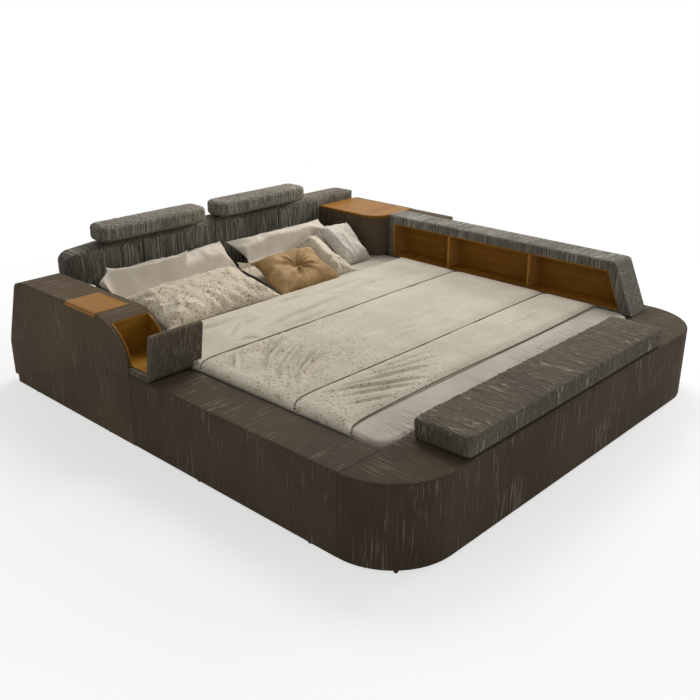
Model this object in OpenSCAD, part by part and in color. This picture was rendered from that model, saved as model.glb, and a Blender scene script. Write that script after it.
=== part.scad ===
// Upholstered platform bed with built-in nightstands, an open side shelf and a foot bench.
// The foot of the bed is at -Y, the headboard at +Y, and +X is the side of the open shelf.

/* [Mattress] */
// Width of the mattress
mattress_w = 1800; // [1400:10:2000]
// Length of the mattress
mattress_len = 2000; // [1900:10:2100]
// Thickness of the mattress
mattress_h = 225; // [180:5:240]
// Room between the mattress and each side rail
side_room = 18; // [10:1:30]
// Room between the mattress and the foot box or the head rail
end_room = 4; // [4:0.5:10]

/* [Base] */
// Height of the upholstered rails above the floor
base_h = 337; // [325:1:350]
// Width of each side rail
rail_w = 215; // [200:1:240]
// Depth of the foot box, which is also the radius of its corners
foot_depth = 276; // [260:1:300]
// Depth of the head rail, which carries the headboard
head_rail_d = 216; // [180:1:240]
// Thickness of the padded upholstery
cover_t = 15; // [10:1:18]
// Thickness of the carcass boards
board_t = 18; // [12:1:22]
// Radius of the upholstery's long top edges
edge_r = 12; // [6:1:14]
// Height of the plastic glides
glide_h = 8; // [5:1:15]

/* [Slatted base] */
// Rows of slats
slat_rows = 13; // [9:1:16]
// Width of a slat
slat_w = 70; // [50:1:90]
// Thickness of a slat
slat_t = 12; // [8:1:14]
// Depth of the slats' top below the top of the rails
slat_drop = 217; // [207:1:227]
// Thickness of the side ledgers
ledger_h = 40; // [25:1:50]
// Width of the centre beam
beam_w = 50; // [40:1:70]
// Height of the centre beam
beam_h = 60; // [40:1:70]

/* [Foot bench] */
// Length of the bench lid
lid_len = 1438; // [1200:2:1480]
// Depth of the bench lid
lid_depth = 248; // [225:1:250]
// How far the lid sits to the left of the middle
lid_shift = 60; // [0:1:80]
// Height of the lid's padded cushion
lid_cushion_h = 85; // [55:1:95]
// Radius of the lid cushion's corners
lid_corner_r = 24; // [15:1:40]
// Thickness of the lid board
lid_board_t = 12; // [9:1:18]
// Overlap of the lid on the box at each end of the storage well
lid_overlap = 30; // [20:1:60]
// Length of a lid hinge
lid_hinge_len = 60; // [40:1:80]
// Radius of a lid hinge's knuckle
lid_knuckle_r = 4.5; // [4:0.1:4.8]
// Radius of a lid hinge's pin
lid_pin_r = 2; // [1.5:0.1:2.5]

/* [Left nightstand] */
// Height of the left nightstand's top
left_top_h = 547; // [520:1:600]
// Distance from the foot face to the foot end of the left nightstand
left_start = 1456; // [1400:1:1500]
// Length of the curved drop at the nightstand's foot end
curve_len = 230; // [180:5:260]
// Height of the curved drop at the nightstand's foot end
curve_drop = 187; // [120:1:190]
// How far the nightstand's head end slopes outwards on its way down
end_lean = 146; // [60:1:180]
// Depth of the recess under the sloped head end
end_recess = 60; // [20:1:80]
// Radius of the base's outer corners at the head
head_corner_r = 40; // [25:1:60]
// Width of the wood inlay
inlay_w = 170; // [120:1:185]
// Length of the wood inlay
inlay_len = 233; // [150:1:300]
// Distance from the magazine bin to the inlay
inlay_gap = 92; // [90:1:160]

/* [Magazine bin] */
// Distance from the nightstand's foot end to the bin's head wall
bin_wall = 124; // [90:1:140]
// Distance from the nightstand's foot end to the foot of the front board
bin_reach = 159; // [120:1:200]
// Thickness of the padded floor and front board
bin_board_t = 26; // [18:1:30]
// Width of the front board
bin_front_w = 254; // [225:1:260]
// Angle by which the front board leans outwards
bin_lean = 8.5; // [0:0.5:15]
// Outer radius of the bend between the floor and the front board
bin_bend_r = 34; // [32:1:45]
// Radius of the front board's lower corner at the mattress
bin_front_r = 50; // [20:1:60]

/* [Side shelf] */
// Height of the shelf's and the right nightstand's top
shelf_top_h = 586; // [550:1:640]
// Width of the shelf
shelf_w = 152; // [140:1:170]
// Distance from the foot face to the bottom of the shelf's sloped end
shelf_start = 285; // [280:1:400]
// How far the sloped end leans back
shelf_lean = 109; // [60:1:160]
// Height of the band above the compartments
shelf_band = 48; // [35:1:70]
// Height of the sill under the compartments
shelf_sill = 13; // [8:1:20]
// Width of the upholstered frame at the sloped end
shelf_foot_frame = 57; // [35:1:80]
// Width of the upholstered frame at the head end
shelf_head_frame = 33; // [20:1:60]
// Depth of the compartments
shelf_depth = 120; // [90:1:125]
// Thickness of the wood lining
lining_t = 6; // [4:0.5:9]
// Thickness of the dividers
divider_t = 12; // [9:1:18]
// Clear lengths of the two compartments nearer the head
bay_lens = [384, 505]; // [300:1:500]

/* [Right nightstand] */
// Length of the right nightstand
right_len = 456; // [400:1:520]
// How far the right nightstand overhangs the mattress
right_overhang = 111; // [60:1:140]
// Radius of the right nightstand's round corner
right_corner_r = 111; // [60:1:125]
// Thickness of the wood top
wood_top_t = 12; // [9:1:20]
// Clearance over the mattress
overhang_lift = 7; // [6:1:15]
// Gap between the nightstand and the headboard
head_gap = 8; // [2:1:20]
// How far the side return reaches past the nightstand towards the foot
return_reach = 296; // [100:1:400]
// Width of the fabric lip beside the wood top
return_lip = 15; // [5:1:20]

/* [Headboard] */
// Height of the headboard's top
headboard_top = 646; // [620:1:720]
// Distance of the headboard's left end from the base's left face
headboard_x0 = 258; // [220:1:300]
// Length of the headboard
headboard_len = 2002; // [1900:1:2005]
// Thickness of the headboard's padding
headboard_pad_t = 110; // [80:1:110]
// Length of a full channel between two seams
channel_len = 465; // [400:5:480]
// Length of the first channel at the left end
first_channel = 419; // [300:1:460]
// Width of a seam's groove
groove_w = 8; // [4:1:12]
// Depth of a seam's groove
groove_d = 10; // [5:1:20]
// Height of the left wing's tip above the floor
wing_tip_h = 505; // [480:1:540]
// How much lower the headboard's top is at the left end
headboard_dip = 24; // [5:1:30]
// Length of the left wing's sloped underside
wing_len = 190; // [120:5:260]
// How far the wing's underside drops along its length
wing_drop = 94; // [60:1:110]

/* [Headrests] */
// Length of a headrest
headrest_len = 628; // [500:1:660]
// Depth of a headrest
headrest_d = 155; // [120:1:170]
// Height of a headrest
headrest_h = 90; // [70:1:120]
// Distance of the left headrest from the headboard's left end
headrest_inset = 163; // [120:1:240]
// Gap between the two headrests
headrest_space = 103; // [60:1:160]
// Gap between a headrest and the headboard
headrest_lift = 8; // [3:0.5:10]
// Radius of a headrest's pin
tilt_pin_r = 4; // [3:0.5:5]
// Radius of the knuckle round the pin
tilt_knuckle_r = 8; // [7:0.5:8.5]

/* [Bedding] */
// Distance from the foot face to the quilt's foot edge
quilt_start = 460; // [400:5:520]
// Lengths of the quilt's three panels, from the foot
quilt_panels = [285, 560, 395]; // [200:1:600]
// Strip of sheet that shows between the quilt and the shelf
quilt_margin = 20; // [5:1:60]
// Thickness of the quilt
quilt_t = 24; // [15:1:30]
// Thickness of the fitted sheet
sheet_t = 3; // [2:0.5:3]
// Thickness of a bed pillow
pillow_t = 105; // [80:1:130]

/* [Hidden] */
$fn = 48;

// Fits and clearances
soft_gap = 0.3;
fit_gap = 0.5;
pin_gap = 0.05;
past = 1;

// Colours as the photograph shows them
fabric_colour = [0.30, 0.28, 0.26];
board_colour = [0.72, 0.60, 0.42];
wood_colour = [0.70, 0.48, 0.24];
linen_colour = [0.86, 0.83, 0.79];
quilt_colour = [0.80, 0.76, 0.69];
floral_colour = [0.78, 0.74, 0.68];
tan_colour = [0.76, 0.64, 0.48];
steel_colour = [0.60, 0.61, 0.63];
plastic_colour = [0.12, 0.12, 0.12];

// Plan of the base, measured from its left face and its foot face
recess_w = mattress_w + 2 * side_room;
recess_len = mattress_len + 2 * end_room;
x_left = rail_w;
x_right = x_left + recess_w;
base_w = x_right + rail_w;
y_foot = foot_depth;
y_head = y_foot + recess_len;
base_len = y_head + head_rail_d;
corner_r = foot_depth;
slat_top = base_h - slat_drop;
leg_drop = slat_top + 30;
carcass_top = base_h - cover_t;
carcass_foot = y_foot - cover_t;
carcass_head = base_len - cover_t;

// Storage well and bench lid
x_mid = x_left + recess_w / 2;
lid_x0 = x_mid - lid_len / 2 - lid_shift;
lid_x1 = lid_x0 + lid_len;
well_x0 = lid_x0 + lid_overlap;
well_x1 = lid_x1 - lid_overlap;
well_y0 = cover_t + board_t;
well_y1 = carcass_foot - board_t;
well_floor_z = glide_h + board_t + lid_board_t;
lid_front = 4;
lid_back = lid_front + lid_depth;
lid_axis_y = lid_back + fit_gap + lid_knuckle_r;
lid_axis_z = base_h + lid_knuckle_r + soft_gap;
lid_leaf_t = 2.5;
lid_under = lid_axis_z + lid_knuckle_r;
lid_base = base_h + 4;
lid_rim = 12;

// Left nightstand and magazine bin
bin_head = left_start + bin_wall;
bin_foot = left_start - bin_reach;
bin_bend_y = bin_foot + bin_bend_r;
bin_floor_z = base_h + bin_board_t;
end_foot = 45;
end_top = left_top_h - 30;
inlay_y0 = bin_head + inlay_gap;

// Shelf and right nightstand
shelf_end = y_head - head_gap - right_len;
shelf_x1 = x_right + shelf_w;
right_start = shelf_end;
right_end = right_start + right_len;
right_under = slat_top + mattress_h + overhang_lift;
wood_under = shelf_top_h - wood_top_t;

// Headboard and headrests
headboard_front = y_head;
headboard_back = headboard_front + headboard_pad_t;
headboard_x1 = headboard_x0 + headboard_len;
seams = [for (i = [0:3]) headboard_x0 + first_channel + i * channel_len];
headrest_z0 = headboard_top + headrest_lift;
headrest_y1 = headboard_back - 14;
headrest_y0 = headrest_y1 - headrest_d;
headrest_xs = [headboard_x0 + headrest_inset,
               headboard_x0 + headrest_inset + headrest_len + headrest_space];
strap_t = 4;
tilt_y = headboard_back + 9;
tilt_z = headrest_z0 + strap_t;
board_top = headboard_top - 8;

// Bedding
mattress_top = slat_top + mattress_h;
sheet_top = mattress_top + soft_gap + sheet_t;
bedding_z = sheet_top + soft_gap;

// Moves a piece from the base's own corner to the part's frame
module place() {
    translate([-base_w / 2, -base_len / 2, 0]) children();
}

// A box from its lowest to its highest corner
module block(low, high) {
    translate(low) cube(high - low);
}

// Runs a profile, drawn as Y and Z, along X
module along_x(x0, x1) {
    translate([x0, 0, 0]) rotate([90, 0, 90]) linear_extrude(x1 - x0) children();
}

// Runs a profile, drawn as X and Z, along Y
module along_y(y0, y1) {
    translate([0, y1, 0]) rotate([90, 0, 0]) linear_extrude(y1 - y0) children();
}

// Points of an elliptic arc
function arc_points(centre, rx, ry, a0, a1, steps = 8) = [
    for (i = [0:steps])
        let (a = a0 + (a1 - a0) * i / steps)
            [centre[0] + rx * cos(a), centre[1] + ry * sin(a)]
];

// Outline with two rounded upper corners
function round_top_points(x0, x1, z0, z1, r) = concat(
    [[x0, z0]],
    arc_points([x0 + r, z1 - r], r, r, 180, 90),
    arc_points([x1 - r, z1 - r], r, r, 90, 0),
    [[x1, z0]]
);

// Ring of points round a rectangle with round corners
function ring_points(w, l, r, z, steps) = [
    for (c = [0:3])
        for (i = [0:steps])
            let (a = 90 * c + 90 * i / steps,
                 cx = (c == 0 || c == 3 ? 1 : -1) * (w / 2 - r),
                 cy = (c < 2 ? 1 : -1) * (l / 2 - r))
                [cx + r * cos(a), cy + r * sin(a), z]
];

// Closed solid through a stack of rings, lowest first
module ring_solid(rings) {
    m = len(rings[0]);
    n = len(rings);
    low = [0, 0, rings[0][0][2]];
    high = [0, 0, rings[n - 1][0][2]];
    points = concat([for (ring = rings) each ring], [low, high]);
    sides = [
        for (k = [0:n - 2])
            for (i = [0:m - 1])
                let (j = (i + 1) % m)
                    each [[k * m + i, (k + 1) * m + i, (k + 1) * m + j],
                          [k * m + i, (k + 1) * m + j, k * m + j]]
    ];
    floor_faces = [for (i = [0:m - 1]) [n * m, i, (i + 1) % m]];
    roof_faces = [for (i = [0:m - 1]) [n * m + 1, (n - 1) * m + (i + 1) % m, (n - 1) * m + i]];
    polyhedron(points, concat(sides, floor_faces, roof_faces));
}

// Padded slab with rounded edges, sides drawn in by waist and a crowned top.
// It is centred on X and Y and stands on z = 0.
module soft_slab(w, l, h, corner, edge, crown, waist = 0, grow = 0, steps = 4) {
    e = edge;
    rings = [
        for (p = [[0.7 * e, 0], [0.15 * e, 0.35 * e], [0, e],
                  [waist, h / 2], [0, h - crown - e], [0.15 * e, h - crown - 0.35 * e],
                  [0.7 * e, h - crown], [2.2 * e, h - 0.45 * crown], [4 * e, h]])
            let (inset = min(p[0], 0.45 * min(w, l)) - grow)
                ring_points(w - 2 * inset, l - 2 * inset, max(corner - inset, 3),
                            p[1] + (p[1] > h / 2 ? grow : (p[1] < h / 4 ? -grow : 0)), steps)
    ];
    ring_solid(rings);
}

// A point on a crowned pillow, whose edges are drawn in between its corners
pillow_draw = 0.07;
pillow_crown = 0.62;
pillow_belly = 0.28;
function pillow_point(w, h, t, u, v, side) =
    let (full = side > 0 ? t * pillow_crown : -t * pillow_belly)
        [(w / 2) * u * (1 - pillow_draw * (1 - v * v)),
         (h / 2) * v * (1 - pillow_draw * (1 - u * u)),
         full * pow((1 - pow(u, 4)) * (1 - pow(v, 4)), 0.6)];
pillow_cells = 10;
function spread(i) = sin(90 * (2 * i / pillow_cells - 1));

module pillow_form(w, h, t) {
    n = pillow_cells;
    upper = [for (i = [0:n]) for (j = [0:n])
        pillow_point(w, h, t, spread(i), spread(j), 1)];
    lower = [for (i = [1:n - 1]) for (j = [1:n - 1])
        pillow_point(w, h, t, spread(i), spread(j), -1)];
    function up(i, j) = i * (n + 1) + j;
    function low(i, j) =
        (i == 0 || j == 0 || i == n || j == n) ? up(i, j)
        : (n + 1) * (n + 1) + (i - 1) * (n - 1) + j - 1;
    roof = [
        for (i = [0:n - 1])
            for (j = [0:n - 1])
                each [[up(i, j), up(i, j + 1), up(i + 1, j + 1)],
                      [up(i, j), up(i + 1, j + 1), up(i + 1, j)]]
    ];
    underside = [
        for (i = [0:n - 1])
            for (j = [0:n - 1])
                each [[low(i, j), low(i + 1, j + 1), low(i, j + 1)],
                      [low(i, j), low(i + 1, j), low(i + 1, j + 1)]]
    ];
    polyhedron(concat(upper, lower), concat(roof, underside));
}

// Plan of the foot box, drawn in by an inset
module foot_plan(inset) {
    r = corner_r - inset;
    translate([corner_r, corner_r]) circle(r, $fn = 96);
    translate([base_w - corner_r, corner_r]) circle(r, $fn = 96);
    translate([corner_r, inset]) square([base_w - 2 * corner_r, corner_r - inset]);
}

// Section through the foot box's wall and top, measured outwards from the corner's centre
module foot_section() {
    polygon(concat(
        [[0, base_h]],
        arc_points([corner_r - edge_r, base_h - edge_r], edge_r, edge_r, 90, 0),
        [[corner_r, glide_h], [corner_r - cover_t, glide_h],
         [corner_r - cover_t, carcass_top], [0, carcass_top]]
    ));
}

// Bolts that join the modules: where the grip starts, its direction and its length
bolt_r = 4;
bolt_zs = [190, carcass_top - 52];
foot_grip = 2 * board_t;
side_grip = 2 * board_t + cover_t;
bolt_spots = concat(
    [for (x = [rail_w / 2, base_w - rail_w / 2]) for (z = bolt_zs)
        [[x, carcass_foot - board_t, z], 90, foot_grip]],
    [for (x = [x_left - cover_t - board_t, x_right - board_t]) for (z = bolt_zs)
        [[x, y_head + head_rail_d / 2 - board_t, z], 0, side_grip]]
);

module bolt(grip) {
    head_h = 5;
    nut_h = 6;
    rotate([0, 90, 0]) {
        translate([0, 0, -head_h]) cylinder(head_h, 7, 7, $fn = 6);
        cylinder(grip + nut_h + 3, bolt_r, bolt_r, $fn = 24);
        translate([0, 0, grip]) cylinder(nut_h, 7, 7, $fn = 6);
    }
}

module bolt_holes() {
    for (spot = bolt_spots)
        translate(spot[0]) rotate([0, 0, spot[1]]) rotate([0, 90, 0])
            translate([0, 0, -past]) cylinder(spot[2] + 2 * past, bolt_r + fit_gap,
                                              bolt_r + fit_gap, $fn = 24);
}

// Base covers

module foot_cover() {
    color(fabric_colour) place() difference() {
        union() {
            translate([corner_r, corner_r, 0]) rotate([0, 0, 180])
                rotate_extrude(angle = 90, $fn = 96) foot_section();
            translate([base_w - corner_r, corner_r, 0]) rotate([0, 0, 270])
                rotate_extrude(angle = 90, $fn = 96) foot_section();
            translate([0, corner_r, 0]) along_x(corner_r, base_w - corner_r)
                mirror([1, 0]) foot_section();
            block([x_left, carcass_foot, leg_drop], [x_right, y_foot, carcass_top]);
        }
        block([well_x0, well_y0, carcass_top - past], [well_x1, well_y1, base_h + past]);
    }
}

// Section of a rail's cover, as X and Z
module rail_section(x0, x1, inner_is_right) {
    difference() {
        polygon(round_top_points(x0, x1, glide_h, base_h, edge_r));
        translate([x0 + cover_t, glide_h - past])
            square([x1 - x0 - 2 * cover_t, carcass_top - glide_h + past]);
        translate([inner_is_right ? x1 - cover_t - past : x0 - past, glide_h - past])
            square([cover_t + 2 * past, leg_drop - glide_h + past]);
    }
}

module left_rail_cover() {
    color(fabric_colour) place() difference() {
        along_y(y_foot, left_start) rail_section(0, x_left, true);
        bolt_holes();
    }
}

module right_rail_cover() {
    color(fabric_colour) place() difference() {
        along_y(y_foot, base_len) rail_section(x_right, base_w, false);
        bolt_holes();
    }
}

module head_rail_cover() {
    color(fabric_colour) place() difference() {
        along_x(x_left, x_right) difference() {
            polygon(concat(
                [[y_head, glide_h], [y_head, base_h]],
                arc_points([base_len - edge_r, base_h - edge_r], edge_r, edge_r, 90, 0),
                [[base_len, glide_h]]
            ));
            translate([y_head + cover_t, glide_h - past])
                square([head_rail_d - 2 * cover_t, carcass_top - glide_h + past]);
            translate([y_head - past, glide_h - past])
                square([cover_t + 2 * past, leg_drop - glide_h + past]);
        }
        bolt_holes();
    }
}

// Base carcasses, which are boards glued into boxes open at the floor

module foot_carcass() {
    top_z = carcass_top - board_t;
    color(board_colour) place() difference() {
        union() {
            block([corner_r, cover_t, glide_h], [base_w - corner_r, well_y0, carcass_top]);
            block([cover_t + 5, well_y1, glide_h], [base_w - cover_t - 5, carcass_foot, carcass_top]);
            block([well_x0 - board_t, well_y0, glide_h], [well_x0, well_y1, carcass_top]);
            block([well_x1, well_y0, glide_h], [well_x1 + board_t, well_y1, carcass_top]);
            block([well_x0, well_y0, well_floor_z - lid_board_t], [well_x1, well_y1, well_floor_z]);
            for (span = [[0, well_x0 - board_t], [well_x1 + board_t, base_w]])
                translate([0, 0, top_z]) linear_extrude(board_t) intersection() {
                    foot_plan(cover_t + fit_gap);
                    translate([span[0], 0]) square([span[1] - span[0], well_y1]);
                }
        }
        bolt_holes();
    }
}

// A rail's carcass between two faces: two sides, a top, two ends and two ribs
module rail_carcass(x0, x1, y0, y1) {
    difference() {
        block([x0, y0, glide_h], [x1, y1, carcass_top]);
        for (i = [0:2])
            let (bay = (y1 - y0 - 4 * board_t) / 3,
                 from = y0 + board_t + i * (bay + board_t))
                block([x0 + board_t, from, glide_h - past],
                      [x1 - board_t, from + bay, carcass_top - board_t]);
        bolt_holes();
    }
}

// Where the sloped head end, drawn in by the cover, stands at a given height
function end_inner_y(z) =
    base_len - cover_t
        - end_lean * lookup((z - end_foot) / (end_top - cover_t - end_foot), head_end);

module left_rail_carcass() {
    color(board_colour) place()
        rail_carcass(cover_t + fit_gap, x_left - cover_t, carcass_foot,
                     end_inner_y(carcass_top) - fit_gap);
}

module right_rail_carcass() {
    color(board_colour) place()
        rail_carcass(x_right + cover_t, base_w - cover_t - fit_gap, carcass_foot, carcass_head);
}

module head_rail_carcass() {
    color(board_colour) place() difference() {
        block([x_left, y_head + cover_t, glide_h], [x_right, carcass_head, carcass_top]);
        for (i = [0:2])
            let (bay = (recess_w - 4 * board_t) / 3,
                 from = x_left + board_t + i * (bay + board_t))
                block([from, y_head + cover_t + board_t, glide_h - past],
                      [from + bay, carcass_head - board_t, carcass_top - board_t]);
        bolt_holes();
    }
}

module base_glides() {
    rail_line = cover_t + 2;
    spots = concat(
        [for (x = [rail_line, base_w - rail_line]) for (i = [0:3])
            [x, y_foot + 140 + i * (base_len - y_foot - 360) / 3, 14]],
        [for (y = [cover_t + 9, base_len - cover_t - 9]) for (i = [0:2])
            [x_left + 190 + i * (recess_w - 380) / 2, y, 14]],
        [for (x = [corner_r, base_w - corner_r])
            [x + (x < base_w / 2 ? -1 : 1) * (corner_r - cover_t / 2) * cos(45),
             corner_r - (corner_r - cover_t / 2) * sin(45), 10]]
    );
    color(plastic_colour) place() for (spot = spots)
        translate([spot[0], spot[1], 0]) cylinder(glide_h, spot[2] - 2, spot[2], $fn = 32);
}

module module_bolts() {
    color(steel_colour) place() for (spot = bolt_spots)
        translate(spot[0]) rotate([0, 0, spot[1]]) bolt(spot[2]);
}

// Slatted base

ledger_x0 = x_left - cover_t;
ledger_x1 = x_right + cover_t;
ledger_w = 40;
ledger_z1 = slat_top - slat_t;

module side_ledgers() {
    color(board_colour) place() for (x = [ledger_x0, ledger_x1 - ledger_w])
        block([x, y_foot + 30, ledger_z1 - ledger_h], [x + ledger_w, y_head - 30, ledger_z1]);
}

module centre_beam() {
    color(board_colour) place()
        block([x_mid - beam_w / 2, carcass_foot, ledger_z1 - beam_h],
              [x_mid + beam_w / 2, y_head + cover_t, ledger_z1]);
}

module beam_legs() {
    leg_top = ledger_z1 - beam_h;
    color(steel_colour) place() for (i = [1:3])
        translate([x_mid, y_foot + i * recess_len / 4, 0]) {
            cylinder(6, 24, 24);
            cylinder(leg_top, 18, 18);
        }
}

module slats() {
    pitch = (recess_len - 70 - slat_w) / (slat_rows - 1);
    color(board_colour) place() for (i = [0:slat_rows - 1])
        let (y = y_foot + 35 + i * pitch) {
            block([ledger_x0 + 2, y, ledger_z1], [x_mid - 3, y + slat_w, slat_top]);
            block([x_mid + 3, y, ledger_z1], [ledger_x1 - 2, y + slat_w, slat_top]);
        }
}

// Bedding

module mattress_form(grow = 0) {
    translate([x_mid, y_foot + recess_len / 2, slat_top])
        soft_slab(mattress_w, mattress_len, mattress_h, 60, 20, 0.01, 3, grow);
}

module mattress() {
    color(linen_colour) place() mattress_form();
}

module fitted_sheet() {
    color(linen_colour) place() difference() {
        mattress_form(soft_gap + sheet_t);
        mattress_form(soft_gap);
        block([0, 0, 0], [base_w, base_len, mattress_top - 95]);
    }
}

quilt_len = quilt_panels[0] + quilt_panels[1] + quilt_panels[2];
quilt_seams = [quilt_panels[0], quilt_panels[0] + quilt_panels[1]];
quilt_w = recess_w - quilt_margin;

// Height of the quilt over the sheet at a distance from its foot edge and its left edge
function quilt_height(s, x) =
    let (edge = min(min(s, quilt_len - s) / 60, min(x, quilt_w - x) / 70, 1),
         seam = min([for (q = quilt_seams) abs(s - q)]) / 55,
         puff = 1 - 0.45 * exp(-seam * seam),
         ripple = 1 + 0.10 * sin(x / 2.1 + s / 7) + 0.06 * sin(s / 1.6 - x / 9))
        quilt_t * (0.35 + 0.65 * sin(90 * edge)) * puff * ripple;

module quilt() {
    nx = 22;
    ny = 24;
    x0 = x_left + 1;
    function px(i) = x0 + (quilt_w - 1) * i / nx;
    function ps(j) = quilt_len * j / ny;
    roof = [for (j = [0:ny]) for (i = [0:nx])
        [px(i), quilt_start + ps(j), bedding_z + quilt_height(ps(j), px(i) - x0)]];
    rim = concat([for (i = [0:nx - 1]) [i, 0]], [for (j = [0:ny - 1]) [nx, j]],
                 [for (i = [nx:-1:1]) [i, ny]], [for (j = [ny:-1:1]) [0, j]]);
    foot = [for (p = rim) [px(p[0]), quilt_start + ps(p[1]), bedding_z]];
    hub = [[x_mid, quilt_start + quilt_len / 2, bedding_z]];
    nt = (nx + 1) * (ny + 1);
    nr = len(rim);
    function id(i, j) = j * (nx + 1) + i;
    top_faces = [for (j = [0:ny - 1]) for (i = [0:nx - 1])
        each [[id(i, j), id(i, j + 1), id(i + 1, j + 1)], [id(i, j), id(i + 1, j + 1), id(i + 1, j)]]];
    side_faces = [for (k = [0:nr - 1]) let (m = (k + 1) % nr,
        a = id(rim[k][0], rim[k][1]), b = id(rim[m][0], rim[m][1]))
        each [[nt + k, a, b], [nt + k, b, nt + m]]];
    floor_faces = [for (k = [0:nr - 1]) [nt + nr, nt + k, nt + (k + 1) % nr]];
    color(quilt_colour) place()
        polyhedron(concat(roof, foot, hub), concat(top_faces, side_faces, floor_faces));
}

// Each pillow: middle of its lower edge, width, height, thickness, tilt and turn.
// The pillow in front keeps its form where two meet.
left_back = [[795, y_head - 410], 640, 400, pillow_t, 25, 0];
left_side = [[590, y_head - 515], 610, 410, pillow_t, 31, -3];
left_front = [[726, y_head - 584], 695, 350, pillow_t + 10, 13, 1];
right_back = [[1515, y_head - 424], 695, 400, pillow_t, 26, 0];
right_side = [[1796, y_head - 454], 212, 292, pillow_t - 20, 40, 0];
right_front = [[1405, y_head - 548], 560, 350, pillow_t - 5, 19, 1];
tan_square = [[1292, y_head - 594], 410, 360, pillow_t + 15, 14, -2];

// Height that sinks a tilted pillow's lowest point just into the sheet
pillow_dent = 5;
function pillow_seat(p) =
    -min([for (i = [0:pillow_cells]) for (j = [0:pillow_cells])
        let (q = pillow_point(p[1], p[2], p[3], spread(i), spread(j), -1))
            (p[2] / 2 + q[1]) * sin(p[4]) + q[2] * cos(p[4])]) - pillow_dent;

// Moves a flat pillow, centred on its middle, to where it lies
module lay(p) {
    translate([p[0][0], p[0][1], bedding_z + pillow_seat(p)]) rotate([0, 0, p[5]])
        rotate([p[4], 0, 0]) translate([0, p[2] / 2, 0]) children();
}

// The room a pillow needs above its flat underside
module pillow_room(p) {
    side = 4;
    lay(p) block([-p[1] / 2 - side, -p[2] / 2 - side, -p[3] * pillow_belly - 1],
                 [p[1] / 2 + side, p[2] / 2 + side, headboard_top]);
}

// A pillow cut by the sheet, the quilt, the headboard and the pillows lying on it
module bed_pillow(p, over = []) {
    place() difference() {
        lay(p) pillow_form(p[1], p[2], p[3]);
        for (q = over)
            pillow_room(q);
        block([0, y_foot, 0], [base_w, base_len, bedding_z]);
        block([0, headboard_front - soft_gap, 0], [base_w, base_len, headboard_top]);
        block([0, y_foot, 0], [base_w, quilt_start + quilt_len + soft_gap,
                               bedding_z + 1.2 * quilt_t]);
    }
}

module pillow_left_back() {
    color(linen_colour) bed_pillow(left_back, [left_side, left_front]);
}

module pillow_left_side() {
    color(linen_colour) bed_pillow(left_side, [left_front]);
}

module pillow_left_front() {
    color(floral_colour) bed_pillow(left_front);
}

module pillow_right_back() {
    color(linen_colour) bed_pillow(right_back, [right_front, right_side, tan_square]);
}

module pillow_right_side() {
    color(linen_colour) bed_pillow(right_side);
}

module pillow_right_front() {
    color(floral_colour) bed_pillow(right_front, [tan_square]);
}

module knotted_cushion() {
    color(tan_colour) bed_pillow(tan_square);
}

// Left nightstand

// The sloped head end: share of its height, and share of its lean, from the foot up
head_end = [[0, 0], [0.16, 0.05], [0.33, 0.18], [0.48, 0.35], [0.66, 0.57], [0.83, 0.78], [1, 1]];
end_shoulder = 100;

// Side view of the left nightstand, drawn in by an inset, down to a given height
module left_profile(inset, z0) {
    top = left_top_h - inset;
    lean_y = base_len - end_lean - inset;
    polygon(concat(
        [[left_start + inset, z0]],
        arc_points([left_start + curve_len, left_top_h - curve_drop],
                   curve_len - inset, curve_drop - inset, 180, 90, 12),
        arc_points([lean_y - end_shoulder, end_top - inset], end_shoulder, top - end_top + inset,
                   90, 30, 3),
        [for (i = [len(head_end) - 1:-1:0])
            [base_len - inset - end_lean * head_end[i][1],
             end_foot + (end_top - end_foot - inset) * head_end[i][0]]],
        [[base_len - inset, z0]]
    ));
}

// The recess under the sloped head end, drawn in by an inset
module end_recess_block(inset) {
    block([-past, base_len - end_recess - inset, -past],
          [x_left + past, base_len + past, end_foot + inset]);
}

// What is cut away to round the base's outer corner at the head
module head_corner_cut() {
    translate([0, base_len - head_corner_r, -past]) linear_extrude(left_top_h + 2 * past)
        difference() {
            translate([-past, 0]) square([head_corner_r + past, head_corner_r + past]);
            translate([head_corner_r, 0]) circle(head_corner_r);
        }
}

module left_nightstand_cover() {
    color(fabric_colour) place() difference() {
        intersection() {
            along_x(0, rail_w) left_profile(0, glide_h);
            along_y(left_start, base_len)
                polygon(round_top_points(0, rail_w, 0, left_top_h, edge_r));
        }
        difference() {
            along_x(cover_t, rail_w - cover_t) intersection() {
                left_profile(cover_t, glide_h - past);
                translate([bin_head + cover_t, 0]) square([base_len, left_top_h]);
            }
            end_recess_block(cover_t);
        }
        end_recess_block(0);
        block([cover_t, left_start - past, glide_h - past],
              [rail_w - cover_t, bin_head + cover_t + past, carcass_top]);
        block([cover_t, left_start - past, base_h],
              [rail_w - cover_t, bin_head, left_top_h + past]);
        block([rail_w - cover_t - past, left_start - past, glide_h - past],
              [rail_w + past, y_head, leg_drop]);
        block([-past, inlay_y0 - fit_gap, left_top_h - cover_t],
              [inlay_w + fit_gap, inlay_y0 + inlay_len + fit_gap, left_top_h + past]);
        head_corner_cut();
        bolt_holes();
    }
}

module left_nightstand_carcass() {
    y0 = bin_head + cover_t;
    y1 = base_len - end_lean;
    color(board_colour) place() difference() {
        along_x(cover_t, rail_w - cover_t) intersection() {
            left_profile(cover_t, carcass_top);
            translate([y0, carcass_top]) square([y1 - y0, left_top_h]);
        }
        along_x(cover_t + board_t, rail_w - cover_t - board_t) intersection() {
            left_profile(cover_t + board_t, carcass_top - past);
            translate([y0 + board_t, carcass_top - past]) square([y1 - y0 - 2 * board_t, left_top_h]);
        }
    }
}

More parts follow.
